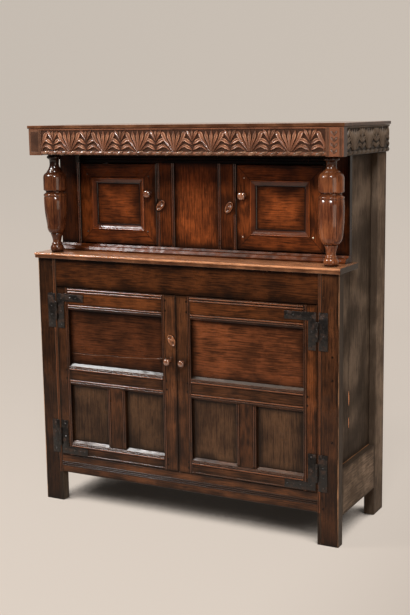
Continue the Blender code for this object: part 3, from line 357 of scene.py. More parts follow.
    # Shine, and the sides of a waxed member that were left dry
    dull = {0: pattern["patches"], 1: -0.24, 2: rough + 0.12}
    if dry_ends:
        facing = add("SeparateXYZ", {0: add("TexCoord", out="Normal")}, X)
        facing = add("Math", {0: facing}, operation="ABSOLUTE")
        sideways = add("MapRange", {0: facing, 1: 0.5, 2: 0.9, 4: 1.0}, **EASE)
        dry = finish_colours("side", dry_ends)
        dry = add("Mix", {0: dark, 6: dry[0], 7: dry[1]}, 2, **RGBA)
        wooden = add("Mix", {0: sideways, 6: wooden, 7: dry}, 2, **RGBA)
        dull[2] = add("MapRange", {0: sideways, 3: rough + 0.12, 4: wood.dry_roughness + 0.2})
    planed = {"Strength": 0.5, "Distance": 0.0022 * ripple, "Height": pattern["ripples"]}
    fine = {"Strength": 0.3, "Distance": 0.0006 * min(ripple, 1.0), "Height": pattern["pores"]}
    fine["Normal"] = add("Bump", planed)
    normal = add("Bump", fine)
    waxed = {
        "Base Color": wooden,
        "Roughness": add("Math", dull, operation="MULTIPLY_ADD"),
        "Specular IOR Level": 0.12,
        "Coat Weight": coat,
        "Coat Roughness": 0.08,
        "Coat IOR": polish,
        "Normal": normal,
        "Coat Normal": normal,
    }
    add("OutputMaterial", {0: add("BsdfPrincipled", waxed)})
    return material


def mitred_grain(add, parts, distances):
    """Upright grain where the nearer edge is an upright one, and the distance from the mitres."""
    apart = add("Math", {0: distances[0], 1: distances[1]}, operation="SUBTRACT")
    upright = add("Math", {0: apart, 1: 0.0}, operation="LESS_THAN")
    return upright, add("Math", {0: apart}, operation="ABSOLUTE")


def ladder_grain(middle, half, low, high):
    """Upright grain in the short muntin between two rails, and the distance from its shoulders."""

    def mask(add, parts, distances):
        across = add("Math", {0: parts[X], 1: middle, 2: half}, operation="COMPARE")
        up = {0: parts[Z], 1: (low + high) / 2, 2: (high - low) / 2}
        upright = add("Math", up, operation="COMPARE")
        upright = add("Math", {0: across, 1: upright}, operation="MULTIPLY")
        off = add("Math", {0: parts[Z], 1: (low + high) / 2}, operation="SUBTRACT")
        off = add("Math", {0: off}, operation="ABSOLUTE")
        off = add("Math", {0: off, 1: (high - low) / 2}, operation="SUBTRACT")
        off = add("Math", {0: off}, operation="ABSOLUTE")
        beside = add("Math", {0: 1.0, 1: across}, operation="SUBTRACT")
        return upright, add("Math", {0: off, 1: beside}, operation="ADD")

    return mask


# Carved oak: the ground holds dust and wax, darker the deeper it lies, with painted shade from ambient
# occlusion in its corners; the rims of leaves and the crests of beads are rubbed paler, which also paints
# their highlights; depth is read along the carving's own outward axis
def carved_oak(name, finish, axis, ground, rim, rough, tone, coat=0.1):
    shade, body, glow = finish_colours(finish, tone)
    material, add = bare_material(name)
    place = add("TexCoord", out="Object")
    depth = add("SeparateXYZ", {0: place}, axis)
    patches = add("TexNoise", {"Vector": place, "Scale": 1 / DUST_WIDTH, "Detail": 3.0}, "Fac")
    grit = add("TexNoise", {"Vector": place, "Scale": 1 / GRIT_WIDTH, "Detail": 2.0}, "Fac")
    height = add("MapRange", {0: depth, 1: ground, 2: rim})
    raised = add("MapRange", {0: height, 1: 0.05, 2: 0.5}, **EASE)
    wooden = add("Mix", {0: raised, 6: shade, 7: body}, 2, **RGBA)
    # Paler crests: rubbed wood, and a painted highlight
    worn = add("MapRange", {0: height, 1: 0.7, 2: 1.0}, **EASE)
    wooden = add("Mix", {0: worn, 6: wooden, 7: glow}, 2, **RGBA)
    # Painted shade: ambient occlusion darkens the corners of the ground
    painted_occlusion = add("AmbientOcclusion", {"Distance": 0.008}, "AO", samples=4)
    clear = add("MapRange", {0: painted_occlusion, 1: 0.3, 2: 0.9, 3: 0.2, 4: 1.0}, **EASE)
    dust = add("MapRange", {0: patches, 1: 0.45, 2: 0.7, 3: 1.0, 4: 0.5}, **EASE)
    clear = add("Math", {0: clear, 1: dust}, operation="MULTIPLY")
    wooden = add("Mix", {0: clear, 6: shade, 7: wooden}, 2, **RGBA)
    normal = add("Bump", {"Strength": 0.4, "Distance": 0.0008, "Height": grit})
    waxed = {
        "Base Color": wooden,
        "Roughness": rough,
        "Specular IOR Level": 0.25,
        "Coat Weight": coat,
        "Coat Roughness": 0.12,
        "Normal": normal,
        "Coat Normal": add("Bump", {"Strength": 0.3, "Distance": 0.004, "Height": patches}),
    }
    add("OutputMaterial", {0: add("BsdfPrincipled", waxed)})
    return material


# Wrought iron, hammered and blackened: dark dents that catch small lights, and rust breaking through in
# patches
def wrought_iron(name, rubbed=1.0):
    colours = bpy.context.scene.cupboard_colours
    material, add = bare_material(name)
    place = add("TexCoord", out="Object")
    rust = add("TexNoise", {"Vector": place, "Scale": 1 / RUST_WIDTH, "Detail": 4.0}, "Fac")
    hammer = add("TexNoise", {"Vector": place, "Scale": 1 / HAMMER_WIDTH, "Detail": 1.0}, "Fac")
    rusty = add("MapRange", {0: rust, 1: 0.48, 2: 0.7}, **EASE)
    tints = {0: rusty}
    # A large rubbed factor colours the iron pale, as rubbed iron that also paints its glints
    for socket, tint in ((6, colours.iron_black), (7, colours.iron_rust)):
        tints[socket] = (*(min(part * rubbed, 0.7) for part in tint), 1.0)
    forged = {
        "Base Color": add("Mix", tints, 2, **RGBA),
        "Roughness": add("MapRange", {0: rust, 1: 0.4, 2: 0.7, 3: 0.3, 4: 0.62}, **EASE),
        "Metallic": 0.35,
        "Coat Weight": 0.25,
        "Coat Roughness": 0.15,
        "Normal": add("Bump", {"Strength": 0.8, "Distance": 0.003, "Height": hammer}),
    }
    add("OutputMaterial", {0: add("BsdfPrincipled", forged)})
    return material


# Matt paper: one even tone from the floor to the wall but for painted shade under the right-hand side; it
# takes the cupboard's shadow, and its glow is darkened round and under the cupboard as a painted shadow; from
# behind it is clear, so that the back of the cupboard can be looked at
def matt_paper(settings):
    material, add = bare_material("matt_paper")
    place = add("TexCoord", out="Object")
    parts = add("SeparateXYZ", {0: place}).node.outputs
    # Painted shade towards the right
    aside = add("MapRange", {0: parts[X], 1: 0.5, 2: 1.7}, **EASE)
    tints = {0: aside, 6: (*settings.floor, 1.0), 7: (*settings.floor_right_shaded, 1.0)}
    tint = add("Mix", tints, 2, **RGBA)
    risen = add("MapRange", {0: parts[Z], 1: 0.0, 2: 1.2}, **EASE)
    tint = add("Mix", {0: risen, 6: tint, 7: (*settings.wall, 1.0)}, 2, **RGBA)
    # Painted shadow: ambient occlusion darkens the paper's glow round and under the cupboard
    painted_occlusion = add("AmbientOcclusion", {"Distance": 0.4}, "AO", samples=16)
    painted_shadow = add("MapRange", {0: painted_occlusion, 1: 0.22, 2: 0.5, 3: 0.02, 4: 1.0}, **EASE)
    paths = add("LightPath").node.outputs
    seen = paths["Is Camera Ray"]
    for path in ("Is Glossy Ray", "Is Transmission Ray"):
        seen = add("Math", {0: seen, 1: paths[path]}, operation="MAXIMUM")
    glow = add("Math", {0: seen, 1: settings.glow}, operation="MULTIPLY")
    matt = add("BsdfDiffuse", {"Color": tint})
    shown = add("Emission", {"Color": tint, "Strength": painted_shadow})
    paper = add("MixShader", {0: glow, 1: matt, 2: shown})
    behind = add("NewGeometry", out="Backfacing")
    behind = add("Math", {0: behind, 1: paths["Is Camera Ray"]}, operation="MULTIPLY")
    clear = add("BsdfTransparent")
    add("OutputMaterial", {0: add("MixShader", {0: behind, 1: paper, 2: clear})})
    return material


# Meshes


def finished(name, bm, material, body, replaces=(), smooth=None):
    """Makes a piece of a bmesh, and lets it ride on a body."""
    bmesh.ops.recalc_face_normals(bm, faces=bm.faces)
    mesh = bpy.data.meshes.new(name)
    bm.to_mesh(mesh)
    bm.free()
    if smooth is not None:
        mesh.shade_smooth()
        mesh.set_sharp_from_angle(angle=math.radians(smooth))
    mesh.materials.append(material)
    piece = bpy.data.objects.new(name, mesh)
    bpy.context.scene.collection.objects.link(piece)
    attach(piece, body)
    if replaces:
        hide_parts(*replaces)
    return piece


def merged_copy(node):
    """A copy of a solid's mesh with its loose triangles joined."""
    bm = bmesh.new()
    bm.from_mesh(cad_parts[node].data)
    bmesh.ops.remove_doubles(bm, verts=bm.verts, dist=1e-5)
    return bm


def everything(bm):
    return bm.verts[:] + bm.edges[:] + bm.faces[:]


def turned_again(node, axis_point, axis, steps):
    """The solid's own half section, spun afresh with many more sides."""
    bm = merged_copy(node)
    sideways = Vector((0, 1, 0)) if axis.z else Vector((0, 0, 1))
    for normal, keep_half in ((sideways, False), (Vector((1, 0, 0)), True)):
        bmesh.ops.bisect_plane(
            bm, geom=everything(bm), dist=1e-6, plane_co=axis_point, plane_no=normal, clear_inner=True,
            clear_outer=not keep_half,
        )
    bmesh.ops.remove_doubles(bm, verts=bm.verts, dist=1e-5)
    section = bm.verts[:] + bm.edges[:]
    bmesh.ops.spin(bm, geom=section, axis=axis, cent=axis_point, angle=math.tau, steps=steps, use_merge=True)
    bmesh.ops.remove_doubles(bm, verts=bm.verts, dist=1e-6)
    return bm


def drawn_out(bm, row):
    """Extrudes a row of edges, and gives the new vertices and the new row."""
    made = bmesh.ops.extrude_edge_only(bm, edges=row)["geom"]
    verts = {item for item in made if isinstance(item, bmesh.types.BMVert)}
    edges = [item for item in made if isinstance(item, bmesh.types.BMEdge)]
    return list(verts), [edge for edge in edges if set(edge.verts) <= verts]


def sweep(bm, section, frames, ring=False):
    """Draws a closed section through a run of frames; its ends are capped, or meet in a ring."""
    verts = [bm.verts.new(frames[0] @ Vector((across, out, 0.0))) for across, out in section]
    row = [bm.edges.new(pair) for pair in zip(verts, verts[1:] + verts[:1])]
    ends = [row]
    for here, there in zip(frames, frames[1:]):
        verts, row = drawn_out(bm, row)
        bmesh.ops.transform(bm, matrix=there @ here.inverted(), verts=verts)
    ends.append(row)
    if ring:
        bmesh.ops.remove_doubles(bm, verts=bm.verts, dist=1e-6)
        return
    for end in ends:
        bmesh.ops.holes_fill(bm, edges=end)


def frames_along(points, outwards, widths, rises):
    """Frames on a path, each with its section's width across and its rise outwards."""
    frames = []
    last = len(points) - 1
    for index, (point, outward) in enumerate(zip(points, outwards)):
        ahead = (points[min(index + 1, last)] - points[max(index - 1, 0)]).normalized()
        across = ahead.cross(outward).normalized()
        axes = Matrix((across * widths[index], outward * rises[index], ahead)).transposed()
        placed = axes.to_4x4()
        placed.translation = point
        frames.append(placed)
    return frames


# Across and outward, as shares of the width and of the rise; the foot is sunk in the ground
HOLLOW_LEAF = [(-0.5, -0.2), (-0.48, 0.7), (-0.36, 1.0), (-0.2, 0.72), (0.0, 0.5)]
HOLLOW_LEAF += [(-across, out) for across, out in reversed(HOLLOW_LEAF[:-1])]
# Share of a leaf's length at which it is widest
LEAF_WIDEST = 0.72
ROUND_BEAD = [(-0.5, -0.3), (-0.48, 0.25), (-0.3, 0.8), (0.0, 1.0), (0.3, 0.8), (0.48, 0.25), (0.5, -0.3)]


def drawn_line(knots, steps=4):
    """A smooth line through knots, as a carver draws it before cutting."""
    points = [Vector(knot) for knot in knots]
    padded = [2 * points[0] - points[1], *points, 2 * points[-1] - points[-2]]
    line = []
    for before, here, there, after in zip(padded, padded[1:], padded[2:], padded[3:]):
        for step in range(steps):
            t = step / steps
            bend = (there - before) * t + (2 * before - 5 * here + 4 * there - after) * t * t
            line.append(here + (bend + (3 * here - before - 3 * there + after) * t**3) / 2)
    return line + [points[-1]]


def leaf(bm, line, place, outward, width, relief, foot=0.25):
    """One hollowed leaf along a line, narrow at the foot and pointed at the tip."""
    points = [place(u, v) for u, v in line]
    count = len(points) - 1
    swell = []
    for index in range(count + 1):
        along = index / count
        open_out = foot + (1 - foot) * min(along / LEAF_WIDEST, 1.0)
        swell.append(max(open_out * (1 - max(along - LEAF_WIDEST, 0.0) / 0.28 * 0.9), 0.1))
    widths = [width * value for value in swell]
    rises = [relief * (0.4 + 0.6 * value) for value in swell]
    sweep(bm, HOLLOW_LEAF, frames_along(points, [outward] * len(points), widths, rises))


# Lines of the carving, from the foot of a palmette or from the middle between two, as shares of half the
# pitch across and of the palmette's height upwards, with the leaf's width as a share of the widest
PALMETTE = (
    (((0.0, 0.0), (0.0, 0.5), (0.0, 1.02)), 0.9),
    (((0.03, 0.0), (0.13, 0.36), (0.25, 0.7), (0.3, 1.0)), 0.95),
    (((0.07, 0.0), (0.28, 0.3), (0.46, 0.58), (0.58, 0.84), (0.74, 0.92)), 1.15),
)
ARCHES = (
    (((0.14, 0.02), (0.26, 0.28), (0.44, 0.5), (0.64, 0.54), (0.84, 0.42), (1.0, 0.3)), 0.9),
    (((0.2, 0.0), (0.34, 0.13), (0.5, 0.23), (0.68, 0.23), (0.86, 0.13), (0.99, 0.02)), 0.85),
)
TULIP = (
    (((0.02, 0.5), (0.1, 0.68), (0.19, 0.86), (0.32, 1.06)), 0.8),
    (((0.0, 0.62), (0.0, 0.82), (0.0, 1.04)), 0.65),
)


def carved_run(bm, centres, ends, place, outward, sizes):
    """A run of palmettes, with low arched leaves and small tulips between them, cut short at both ends."""
    half = sizes.pitch / 2
    first, last = min(ends) + sizes.leaf_width / 3, max(ends) - sizes.leaf_width / 3

    def cut(centre, lines, lean):
        for knots, width in lines:
            for turn in (-1, 1):
                if turn > 0 and not any(u for u, v in knots):
                    continue
                drawn = [(centre + turn * u * half + lean * v, v * sizes.height) for u, v in knots]
                inside = [first < u < last for u, v in drawn]
                if any(inside[1:]):
                    drawn = [(min(max(u, first), last), v) for u, v in drawn]
                    leaf(bm, drawn_line(drawn), place, outward, width * sizes.leaf_width, sizes.relief)

    bays = [2 * centres[0] - centres[1], *centres, 2 * centres[-1] - centres[-2]]
    for index, centre in enumerate(bays):
        cut(centre, PALMETTE, 0.004 * noise.noise(Vector((index + 0.37, 0.5, 0.5))))
        cut(centre, ARCHES, 0.0)
    for left, right in zip(bays, bays[1:]):
        cut((left + right) / 2, TULIP, 0.002 * noise.noise(Vector((left * 9.0, 0.1, 0.9))))


# Where a null starts round the roll and how far round it goes, in degrees, and how far it stands out
NULL_START, NULL_SWEEP, NULL_RISE = -58, 128, 0.0034
NULL_STEPS = 8


def nulls(bm, start, end, place, sizes, outward, low):
    """Slanting nulls wrapped round the roll under the carving."""
    count = int(abs(end - start) / sizes.null_pitch)
    step = (end - start) / count
    parts = range(NULL_STEPS + 1)
    for index in range(count):
        points, outwards = [], []
        for part in parts:
            share_done = part / NULL_STEPS
            angle = math.radians(NULL_START + NULL_SWEEP * share_done)
            out = outward * math.cos(angle) + Vector((0, 0, math.sin(angle)))
            run = start + step * (index + 0.1 + 0.8 * (share_done * share_done * (3 - 2 * share_done)))
            points.append(place(run, low) + out * FRIEZE_ROLL * 0.97)
            outwards.append(out)
        swell = [max(math.sin(math.pi * (0.1 + 0.8 * part / NULL_STEPS)), 0.2) for part in parts]
        widths = [sizes.null_width * value for value in swell]
        rises = [NULL_RISE * value for value in swell]
        sweep(bm, ROUND_BEAD, frames_along(points, outwards, widths, rises))


def driven(at, stand, turn):
    """Where a cone lies that is driven into the front, its middle standing off the face."""
    outward = FRONT_FACING.to_track_quat("Z", "Y").to_matrix().to_4x4()
    return Matrix.Translation(at + FRONT_FACING * stand) @ outward @ Matrix.Rotation(turn, 4, "Z")


def rose_nail(bm, at, width, rise, seed):
    """A hand-made nail with a faceted head, driven into the front."""
    grow = 1.0 + 0.15 * noise.noise(Vector((seed, 1.5, 2.5)))
    place = driven(at, rise / 2 - 0.0004, seed * 1.7)
    bmesh.ops.create_cone(
        bm, cap_ends=True, segments=6, radius1=width / 2 * grow, radius2=width / 9, depth=rise, matrix=place
    )


def whittled_peg(bm, at, sizes, seed):
    """An eight-sided peg driven nearly flush into the front, its end slightly domed."""
    width, rise = sizes.peg_width, sizes.peg_rise
    place, depth = driven(at, rise / 2 - 0.001, seed * 2.3), rise + 0.002
    bmesh.ops.create_cone(
        bm, cap_ends=True, segments=8, radius1=width / 2, radius2=width * 0.42, depth=depth, matrix=place
    )


# Operators


class CUPBOARD_OT_polish_members(bpy.types.Operator):
    """Gives every joined member that keeps its solid a finish of its own"""

    bl_idname = "cupboard.polish_members"
    bl_label = "Polish the members"

    # Name, finish, grain, facing axis, width of the darkening along the edges, which is dirt and also painted
    # shade where a member meets or lies under another, and tone, which also paints how much light the member
    # gets
    WAXED = (
        ("lower_top_rail", "rail", X, Y, 0.026, 0.46),
        ("lower_bottom_rail", "stile", X, Y, 0.012, 1.4),
        # Painted shade: the posts and the rail under the frieze are toned nearly black
        ("upper_stile_left", "upper", Z, Y, 0.018, 0.14),
        ("upper_stile_right", "upper", Z, Y, 0.018, 0.25),
        ("upper_top_rail", "upper", X, Y, 0.014, 0.05),
        ("muntin_left", "upper", Z, Y, 0.012, 0.45),
        ("muntin_right", "upper", Z, Y, 0.012, 0.5),
        ("upper_centre_panel", "upper", Z, Y, 0.034, 1.0),
        ("upper_door_left_panel", "upper", X, Y, 0.07, 0.9),
        ("upper_door_right_panel", "upper", X, Y, 0.07, 1.0),
        ("lower_door_right_upper_panel", "panel", X, Y, 0.036, 0.82),
        ("lower_door_left_hinge_stile", "stile", Z, Y, 0.012, 0.7),
        ("lower_door_left_lock_stile", "stile", Z, Y, 0.010, 1.25),
        ("lower_door_left_top_rail", "rail", X, Y, 0.014, 0.75),
        ("lower_door_right_hinge_stile", "rail", Z, Y, 0.016, 1.1),
        ("lower_door_right_lock_stile", "stile", Z, Y, 0.012, 0.9),
        ("lower_door_right_top_rail", "rail", X, Y, 0.014, 0.7),
        ("lower_door_left_hinge_panel", "small_panel", Z, Y, 0.030, 0.52),
        ("lower_door_left_lock_panel", "small_panel", Z, Y, 0.030, 0.52),
        ("lower_door_right_lock_panel", "small_panel", Z, Y, 0.030, 0.76),
        ("lower_door_right_hinge_panel", "small_panel", Z, Y, 0.030, 0.58),
    )
    # The sides' high tones paint light on them
    DRY = (
        ("rear_stile_left", "side", Z, X, 0.012, 2.85),
        ("rear_stile_right", "side", Z, X, 0.012, 2.85),
        ("side_bottom_rail_left", "side", Y, X, 0.012, 3.4),
        ("side_bottom_rail_right", "side", Y, X, 0.012, 3.4),
        ("side_board_left", "side", Z, X, 0.024, 1.75),
        ("side_board_right", "side", Z, X, 0.024, 1.75),
        ("back_boards", "inside", Z, Y, 0.020, 1.0),
        ("cupboard_floor", "inside", X, Z, 0.020, 1.0),
        ("soffit_board", "inside", X, Z, 0.012, 0.6),
    )
    # Tones of the two front posts and the two upper door frames, which also paint light and shade
    STILE_TONES = {"left": 0.52, "right": 0.8}
    FRAME_TONES = {"left": 0.56, "right": 0.74}

    def execute(self, context):
        wood = context.scene.cupboard_wood
        for node, finish, grain, face, edge_darkening, tone in self.WAXED:
            self.give(node, old_oak(f"waxed_{node}", finish, grain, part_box(node), face, edge_darkening, tone=tone))
        for node, finish, grain, face, edge_darkening, tone in self.DRY:
            look = {"rough": wood.dry_roughness, "tone": tone}
            if node.startswith("side_board"):
                look |= {"rub": ((Z, -1),), "stain": 0.75}
            self.give(node, old_oak(f"dry_{node}", finish, grain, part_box(node), face, edge_darkening, **look))
        for side, sign in SIDES.items():
            node = f"front_stile_{side}"
            look = {"tone": self.STILE_TONES[side], "rub": ((X, sign), (Y, -1)), "dry_ends": 1.1}
            self.give(node, old_oak(f"waxed_{node}", "stile", Z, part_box(node), Y, 0.014, **look))
        # The ledge's arris is rubbed bare, which also paints the highlight along its front
        look = {"tone": 1.6, "coat": 0.4, "rub": ((Y, -1), (Z, 1)), "dry_ends": 0.9}
        oak = old_oak("waxed_ledge", "ledge", X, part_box("ledge_board"), Z, 0.006, 0.18, **look)
        self.give("ledge_board", oak)
        oak = old_oak("waxed_top", "ledge", X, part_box("top_board"), Z, 0.004, 0.12, tone=1.4, ripple=0.3)
        self.give("top_board", oak)
        for side in SIDES:
            door = f"lower_door_{side}"
            node = f"{door}_lower_rails"
            low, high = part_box(node)
            bottom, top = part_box(f"{door}_hinge_panel")[0].z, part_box(f"{door}_lock_panel")[1].z
            look = {"turned": ladder_grain((low.x + high.x) / 2, MUNTIN_HALF, bottom, top), "tone": 0.85}
            self.give(node, old_oak(f"waxed_{node}", "stile", X, (low, high), Y, 0.020, **look))
            node = f"upper_door_{side}_frame"
            low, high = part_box(node)
            edges = (low + PIN_REACH, high - PIN_REACH)
            look = {"turned": mitred_grain, "tone": self.FRAME_TONES[side]}
            self.give(node, old_oak(f"waxed_{node}", "upper", X, edges, Y, 0.020, **look))
        return {"FINISHED"}

    @staticmethod
    def give(node, material):
        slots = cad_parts[node].data.materials
        slots.clear()
        slots.append(material)


class CUPBOARD_OT_run_beads(bpy.types.Operator):
    """Runs the beads of the frame and of the lower doors, the base moulding and the ledge's worn edge"""

    bl_idname = "cupboard.run_beads"
    bl_label = "Run the beads"

    # Distance behind the front and height over the foot
    BASE_SLOPES = ((0.0, 0.006), (0.0015, 0.0066), (0.007, 0.0176), (0.0295, 0.0186), (0.0335, 0.0265))
    # Widths of beads as shares of the room between two scratched lines
    EDGE_BEAD, BEAD, REED = 0.7, 0.75, 0.68
    NOSING_DROP, NOSING_WIDTH = 0.0052, 0.0088
    SILL_LIP = 0.001

    def execute(self, context):
        sizes = context.scene.cupboard_beads
        uprights = (
            (sizes.first / 2, sizes.first * self.EDGE_BEAD),
            (sizes.first + sizes.pitch / 2, sizes.pitch * self.BEAD),
        )
        bm, upper = bmesh.new(), bmesh.new()
        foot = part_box("lower_bottom_rail")[0].z
        for side, sign in SIDES.items():
            low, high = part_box(f"front_stile_{side}")
            inner = low.x if sign > 0 else high.x
            for reach, width in uprights:
                self.upright(bm, inner + sign * reach, low.y, foot, high.z, width)
            low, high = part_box(f"muntin_{side}")
            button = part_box(f"upper_turn_button_{side}")
            clear = (button[0].z + button[1].z) / 2
            inner, outer = (low.x, high.x) if sign > 0 else (high.x, low.x)
            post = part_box(f"upper_stile_{side}")
            post_edge = post[0].x if sign > 0 else post[1].x
            for reach, width in uprights:
                self.upright(upper, inner + sign * reach, low.y, low.z, high.z, width)
                self.upright(upper, outer - sign * reach, low.y, low.z, clear - sizes.button_room, width)
                self.upright(upper, outer - sign * reach, low.y, clear + sizes.button_room, high.z, width)
                self.upright(upper, post_edge + sign * reach, low.y, low.z, high.z, width)
        low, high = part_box("lower_bottom_rail")
        left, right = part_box("front_stile_left")[1].x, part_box("front_stile_right")[0].x
        for level in (-1, 0, 1):
            middle = (low.z + high.z) / 2 + level * sizes.pitch
            self.run(bm, (left, low.y, middle), (right, low.y, middle), sizes.pitch * self.BEAD)
        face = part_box("front_stile_left")[0].y
        rise = sizes.reed_pitch * self.REED * sizes.slope
        # The beads take the carving's colouring: dust and painted shade at their foot, and a paler crest that
        # also paints their highlight
        oak = carved_oak("waxed_beads", "rail", Y, face + rise / 3, face - rise, 0.2, 0.8, 0.65)
        dull = carved_oak("waxed_frame_beads", "rail", Y, face + rise / 3, face - rise, 0.3, 1.35, 0.18)
        finished("frame_beads", bm, dull, "carcase", smooth=40)
        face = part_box("muntin_left")[0].y
        dark = carved_oak("waxed_upper_beads", "upper", Y, face + rise / 3, face - rise, 0.2, 0.6, 0.8)
        finished("upper_beads", upper, dark, "carcase", smooth=40)
        for side in SIDES:
            self.bead_door(f"lower_door_{side}", sizes, uprights, oak)
        self.mould_base()
        self.wear_nosing()
        return {"FINISHED"}

    def mould_base(self):
        """The rail under the upper stage, with the two slopes of its moulding."""
        low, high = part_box("upper_bottom_rail")
        section = [(high.y, low.z), (low.y, low.z)]
        section += [(low.y + reach, low.z + rise) for reach, rise in self.BASE_SLOPES]
        section += [(high.y, high.z)]
        bm = bmesh.new()
        verts = [bm.verts.new((low.x, y, z)) for y, z in section]
        made = bmesh.ops.extrude_face_region(bm, geom=[bm.faces.new(verts)])["geom"]
        far = [item for item in made if isinstance(item, bmesh.types.BMVert)]
        bmesh.ops.translate(bm, verts=far, vec=(high.x - low.x, 0, 0))
        bmesh.ops.recalc_face_normals(bm, faces=bm.faces)
        for side in SIDES:
            self.sink_pin(bm, f"upper_door_{side}_frame")
        oak = old_oak("waxed_base", "upper", X, (low, high), Y, 0.0, 0.3, tone=0.6, ripple=2.8, coat=0.05)
        finished("moulded_base", bm, oak, "carcase", ["upper_bottom_rail"])

    @staticmethod
    def sink_pin(bm, node):
        """A square pocket in the rail's flat top, in which the door's lower pin turns."""
        points = [vert.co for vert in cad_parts[node].data.vertices]
        foot = min(point.z for point in points)
        pin = [point for point in points if point.z < foot + PIN_REACH.z / 2]
        edges = []
        for axis in (X, Y):
            across = [point[axis] for point in pin]
            edges.append((min(across) - PIN_ROOM, max(across) + PIN_ROOM))
            for edge in edges[axis]:
                place, normal = Vector(), Vector()
                place[axis], normal[axis] = edge, 1.0
                bmesh.ops.bisect_plane(bm, geom=everything(bm), dist=1e-6, plane_co=place, plane_no=normal)
        bm.normal_update()
        inside = [face for face in bm.faces if face.normal.z > 0.9]
        for axis, (first, last) in enumerate(edges):
            inside = [face for face in inside if first < face.calc_center_median()[axis] < last]
        sunk = bmesh.ops.extrude_discrete_faces(bm, faces=inside)["faces"]
        verts = [vert for face in sunk for vert in face.verts]
        depth = verts[0].co.z - foot + PIN_ROOM
        bmesh.ops.translate(bm, verts=verts, vec=(0, 0, -depth))

    def wear_nosing(self):
        """The ledge's front arris, worn round and rubbed bare, its pale colour also painting the highlight
        along it.
        """
        low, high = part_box("ledge_board")
        bm = bmesh.new()
        level = high.z - self.NOSING_DROP
        self.run(bm, (low.x, low.y, level), (high.x, low.y, level), self.NOSING_WIDTH)
        oak = old_oak("worn_nosing", "ledge", X, (low, high), Y, 0.0, 0.2, tone=1.75, ripple=1.5, coat=0.6)
        finished("ledge_nosing", bm, oak, "carcase", smooth=40)

    def bead_door(self, door, sizes, uprights, oak):
        """Beads of one lower door: along its rails, its muntin and the inner edges of its stiles."""
        bm = bmesh.new()
        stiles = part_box(f"{door}_hinge_stile"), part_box(f"{door}_lock_stile")
        left, right = sorted(stiles, key=lambda box: box[0].x)
        top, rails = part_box(f"{door}_top_rail"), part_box(f"{door}_lower_rails")
        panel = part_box(f"{door}_hinge_panel")
        middle_low, bottom_top = panel[1].z - PANEL_REACH, panel[0].z + PANEL_REACH
        face = left[0].y
        for edge, inward in ((left[1].x, -1), (right[0].x, 1)):
            for reach, width in uprights:
                self.upright(bm, edge + inward * reach, face, left[0].z, left[1].z, width)
        middle = (rails[0].x + rails[1].x) / 2
        for inward in (-1, 1):
            for reach, width in uprights:
                self.upright(bm, middle + inward * (MUNTIN_HALF - reach), face, bottom_top, middle_low, width)

        narrow, wide = sizes.first * self.BEAD, sizes.reed_pitch * self.REED
        reach = sizes.reed_pitch / 2
        levels = [(top[1].z - sizes.reed + reach, wide), (top[1].z - sizes.reed - reach, wide)]
        for low in (top[0].z + sizes.ovolo, middle_low + sizes.ovolo):
            levels += [(low + sizes.first / 2, narrow), (low + sizes.first + reach, wide)]
        for high in (rails[1].z - sizes.sill, bottom_top - sizes.sill):
            levels += [(high + self.SILL_LIP, narrow), (high - sizes.first / 2 - self.SILL_LIP, narrow)]
            levels.append((high - sizes.first - reach, wide))
        levels.append((rails[0].z + sizes.first, narrow))
        for level, width in levels:
            self.run(bm, (left[1].x, face, level), (right[0].x, face, level), width)
        finished(f"{door}_beads", bm, oak, door, smooth=40)

    def upright(self, bm, across, face, bottom, top, width):
        self.run(bm, (across, face, bottom), (across, face, top), width)

    @staticmethod
    def run(bm, start, end, width):
        rise = width * bpy.context.scene.cupboard_beads.slope
        frames = frames_along([Vector(start), Vector(end)], [FRONT_FACING] * 2, [width] * 2, [rise] * 2)
        sweep(bm, ROUND_BEAD, frames)


class CUPBOARD_OT_mould_doors(bpy.types.Operator):
    """Runs the mitred moulding round the panel of each upper door"""

    bl_idname = "cupboard.mould_doors"
    bl_label = "Mould the upper doors"

    # Distance from the door's edge, and height over the frame's face: a bead, then a slope down to the panel
    SECTION = [(0.0572, -0.001)]
    TURNS = [step * math.pi / 9 for step in range(9)]
    SECTION += [(0.0603 - 0.0031 * math.cos(turn), 0.0036 * math.sin(turn)) for turn in TURNS]
    SECTION += [(0.0636, 0.0014), (0.0646, 0.0024), (0.0704, 0.0), (0.0804, -0.0052), (0.0812, -0.0054)]
    SECTION += [(0.0822, -0.0062), (0.0822, -0.0098), (0.0700, -0.0098)]
    # Depths between which dirt and painted shade give way to rubbed wood that also paints a highlight
    DIRTY, RUBBED = 0.006, -0.0039

    def execute(self, context):
        for side in SIDES:
            door = f"upper_door_{side}"
            low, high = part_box(f"{door}_frame")
            low, high = low + PIN_REACH, high - PIN_REACH
            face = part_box(f"muntin_{side}")[0].y
            frames = []
            for right, up in ((1, 1), (-1, 1), (-1, -1), (1, -1), (1, 1)):
                x, z = (low if right > 0 else high).x, (low if up > 0 else high).z
                inward = Vector((right, 0, up))
                placed = Matrix((inward, FRONT_FACING, inward.cross(FRONT_FACING))).transposed().to_4x4()
                placed.translation = (x, face, z)
                frames.append(placed)
            bm = bmesh.new()
            sweep(bm, self.SECTION, frames, ring=True)
            ground, rim = face + self.DIRTY, face + self.RUBBED
            oak = carved_oak(f"moulded_{door}", "upper", Y, ground, rim, 0.24, 0.8, 0.42)
            finished(f"{door}_moulding", bm, oak, door, smooth=22)
        return {"FINISHED"}


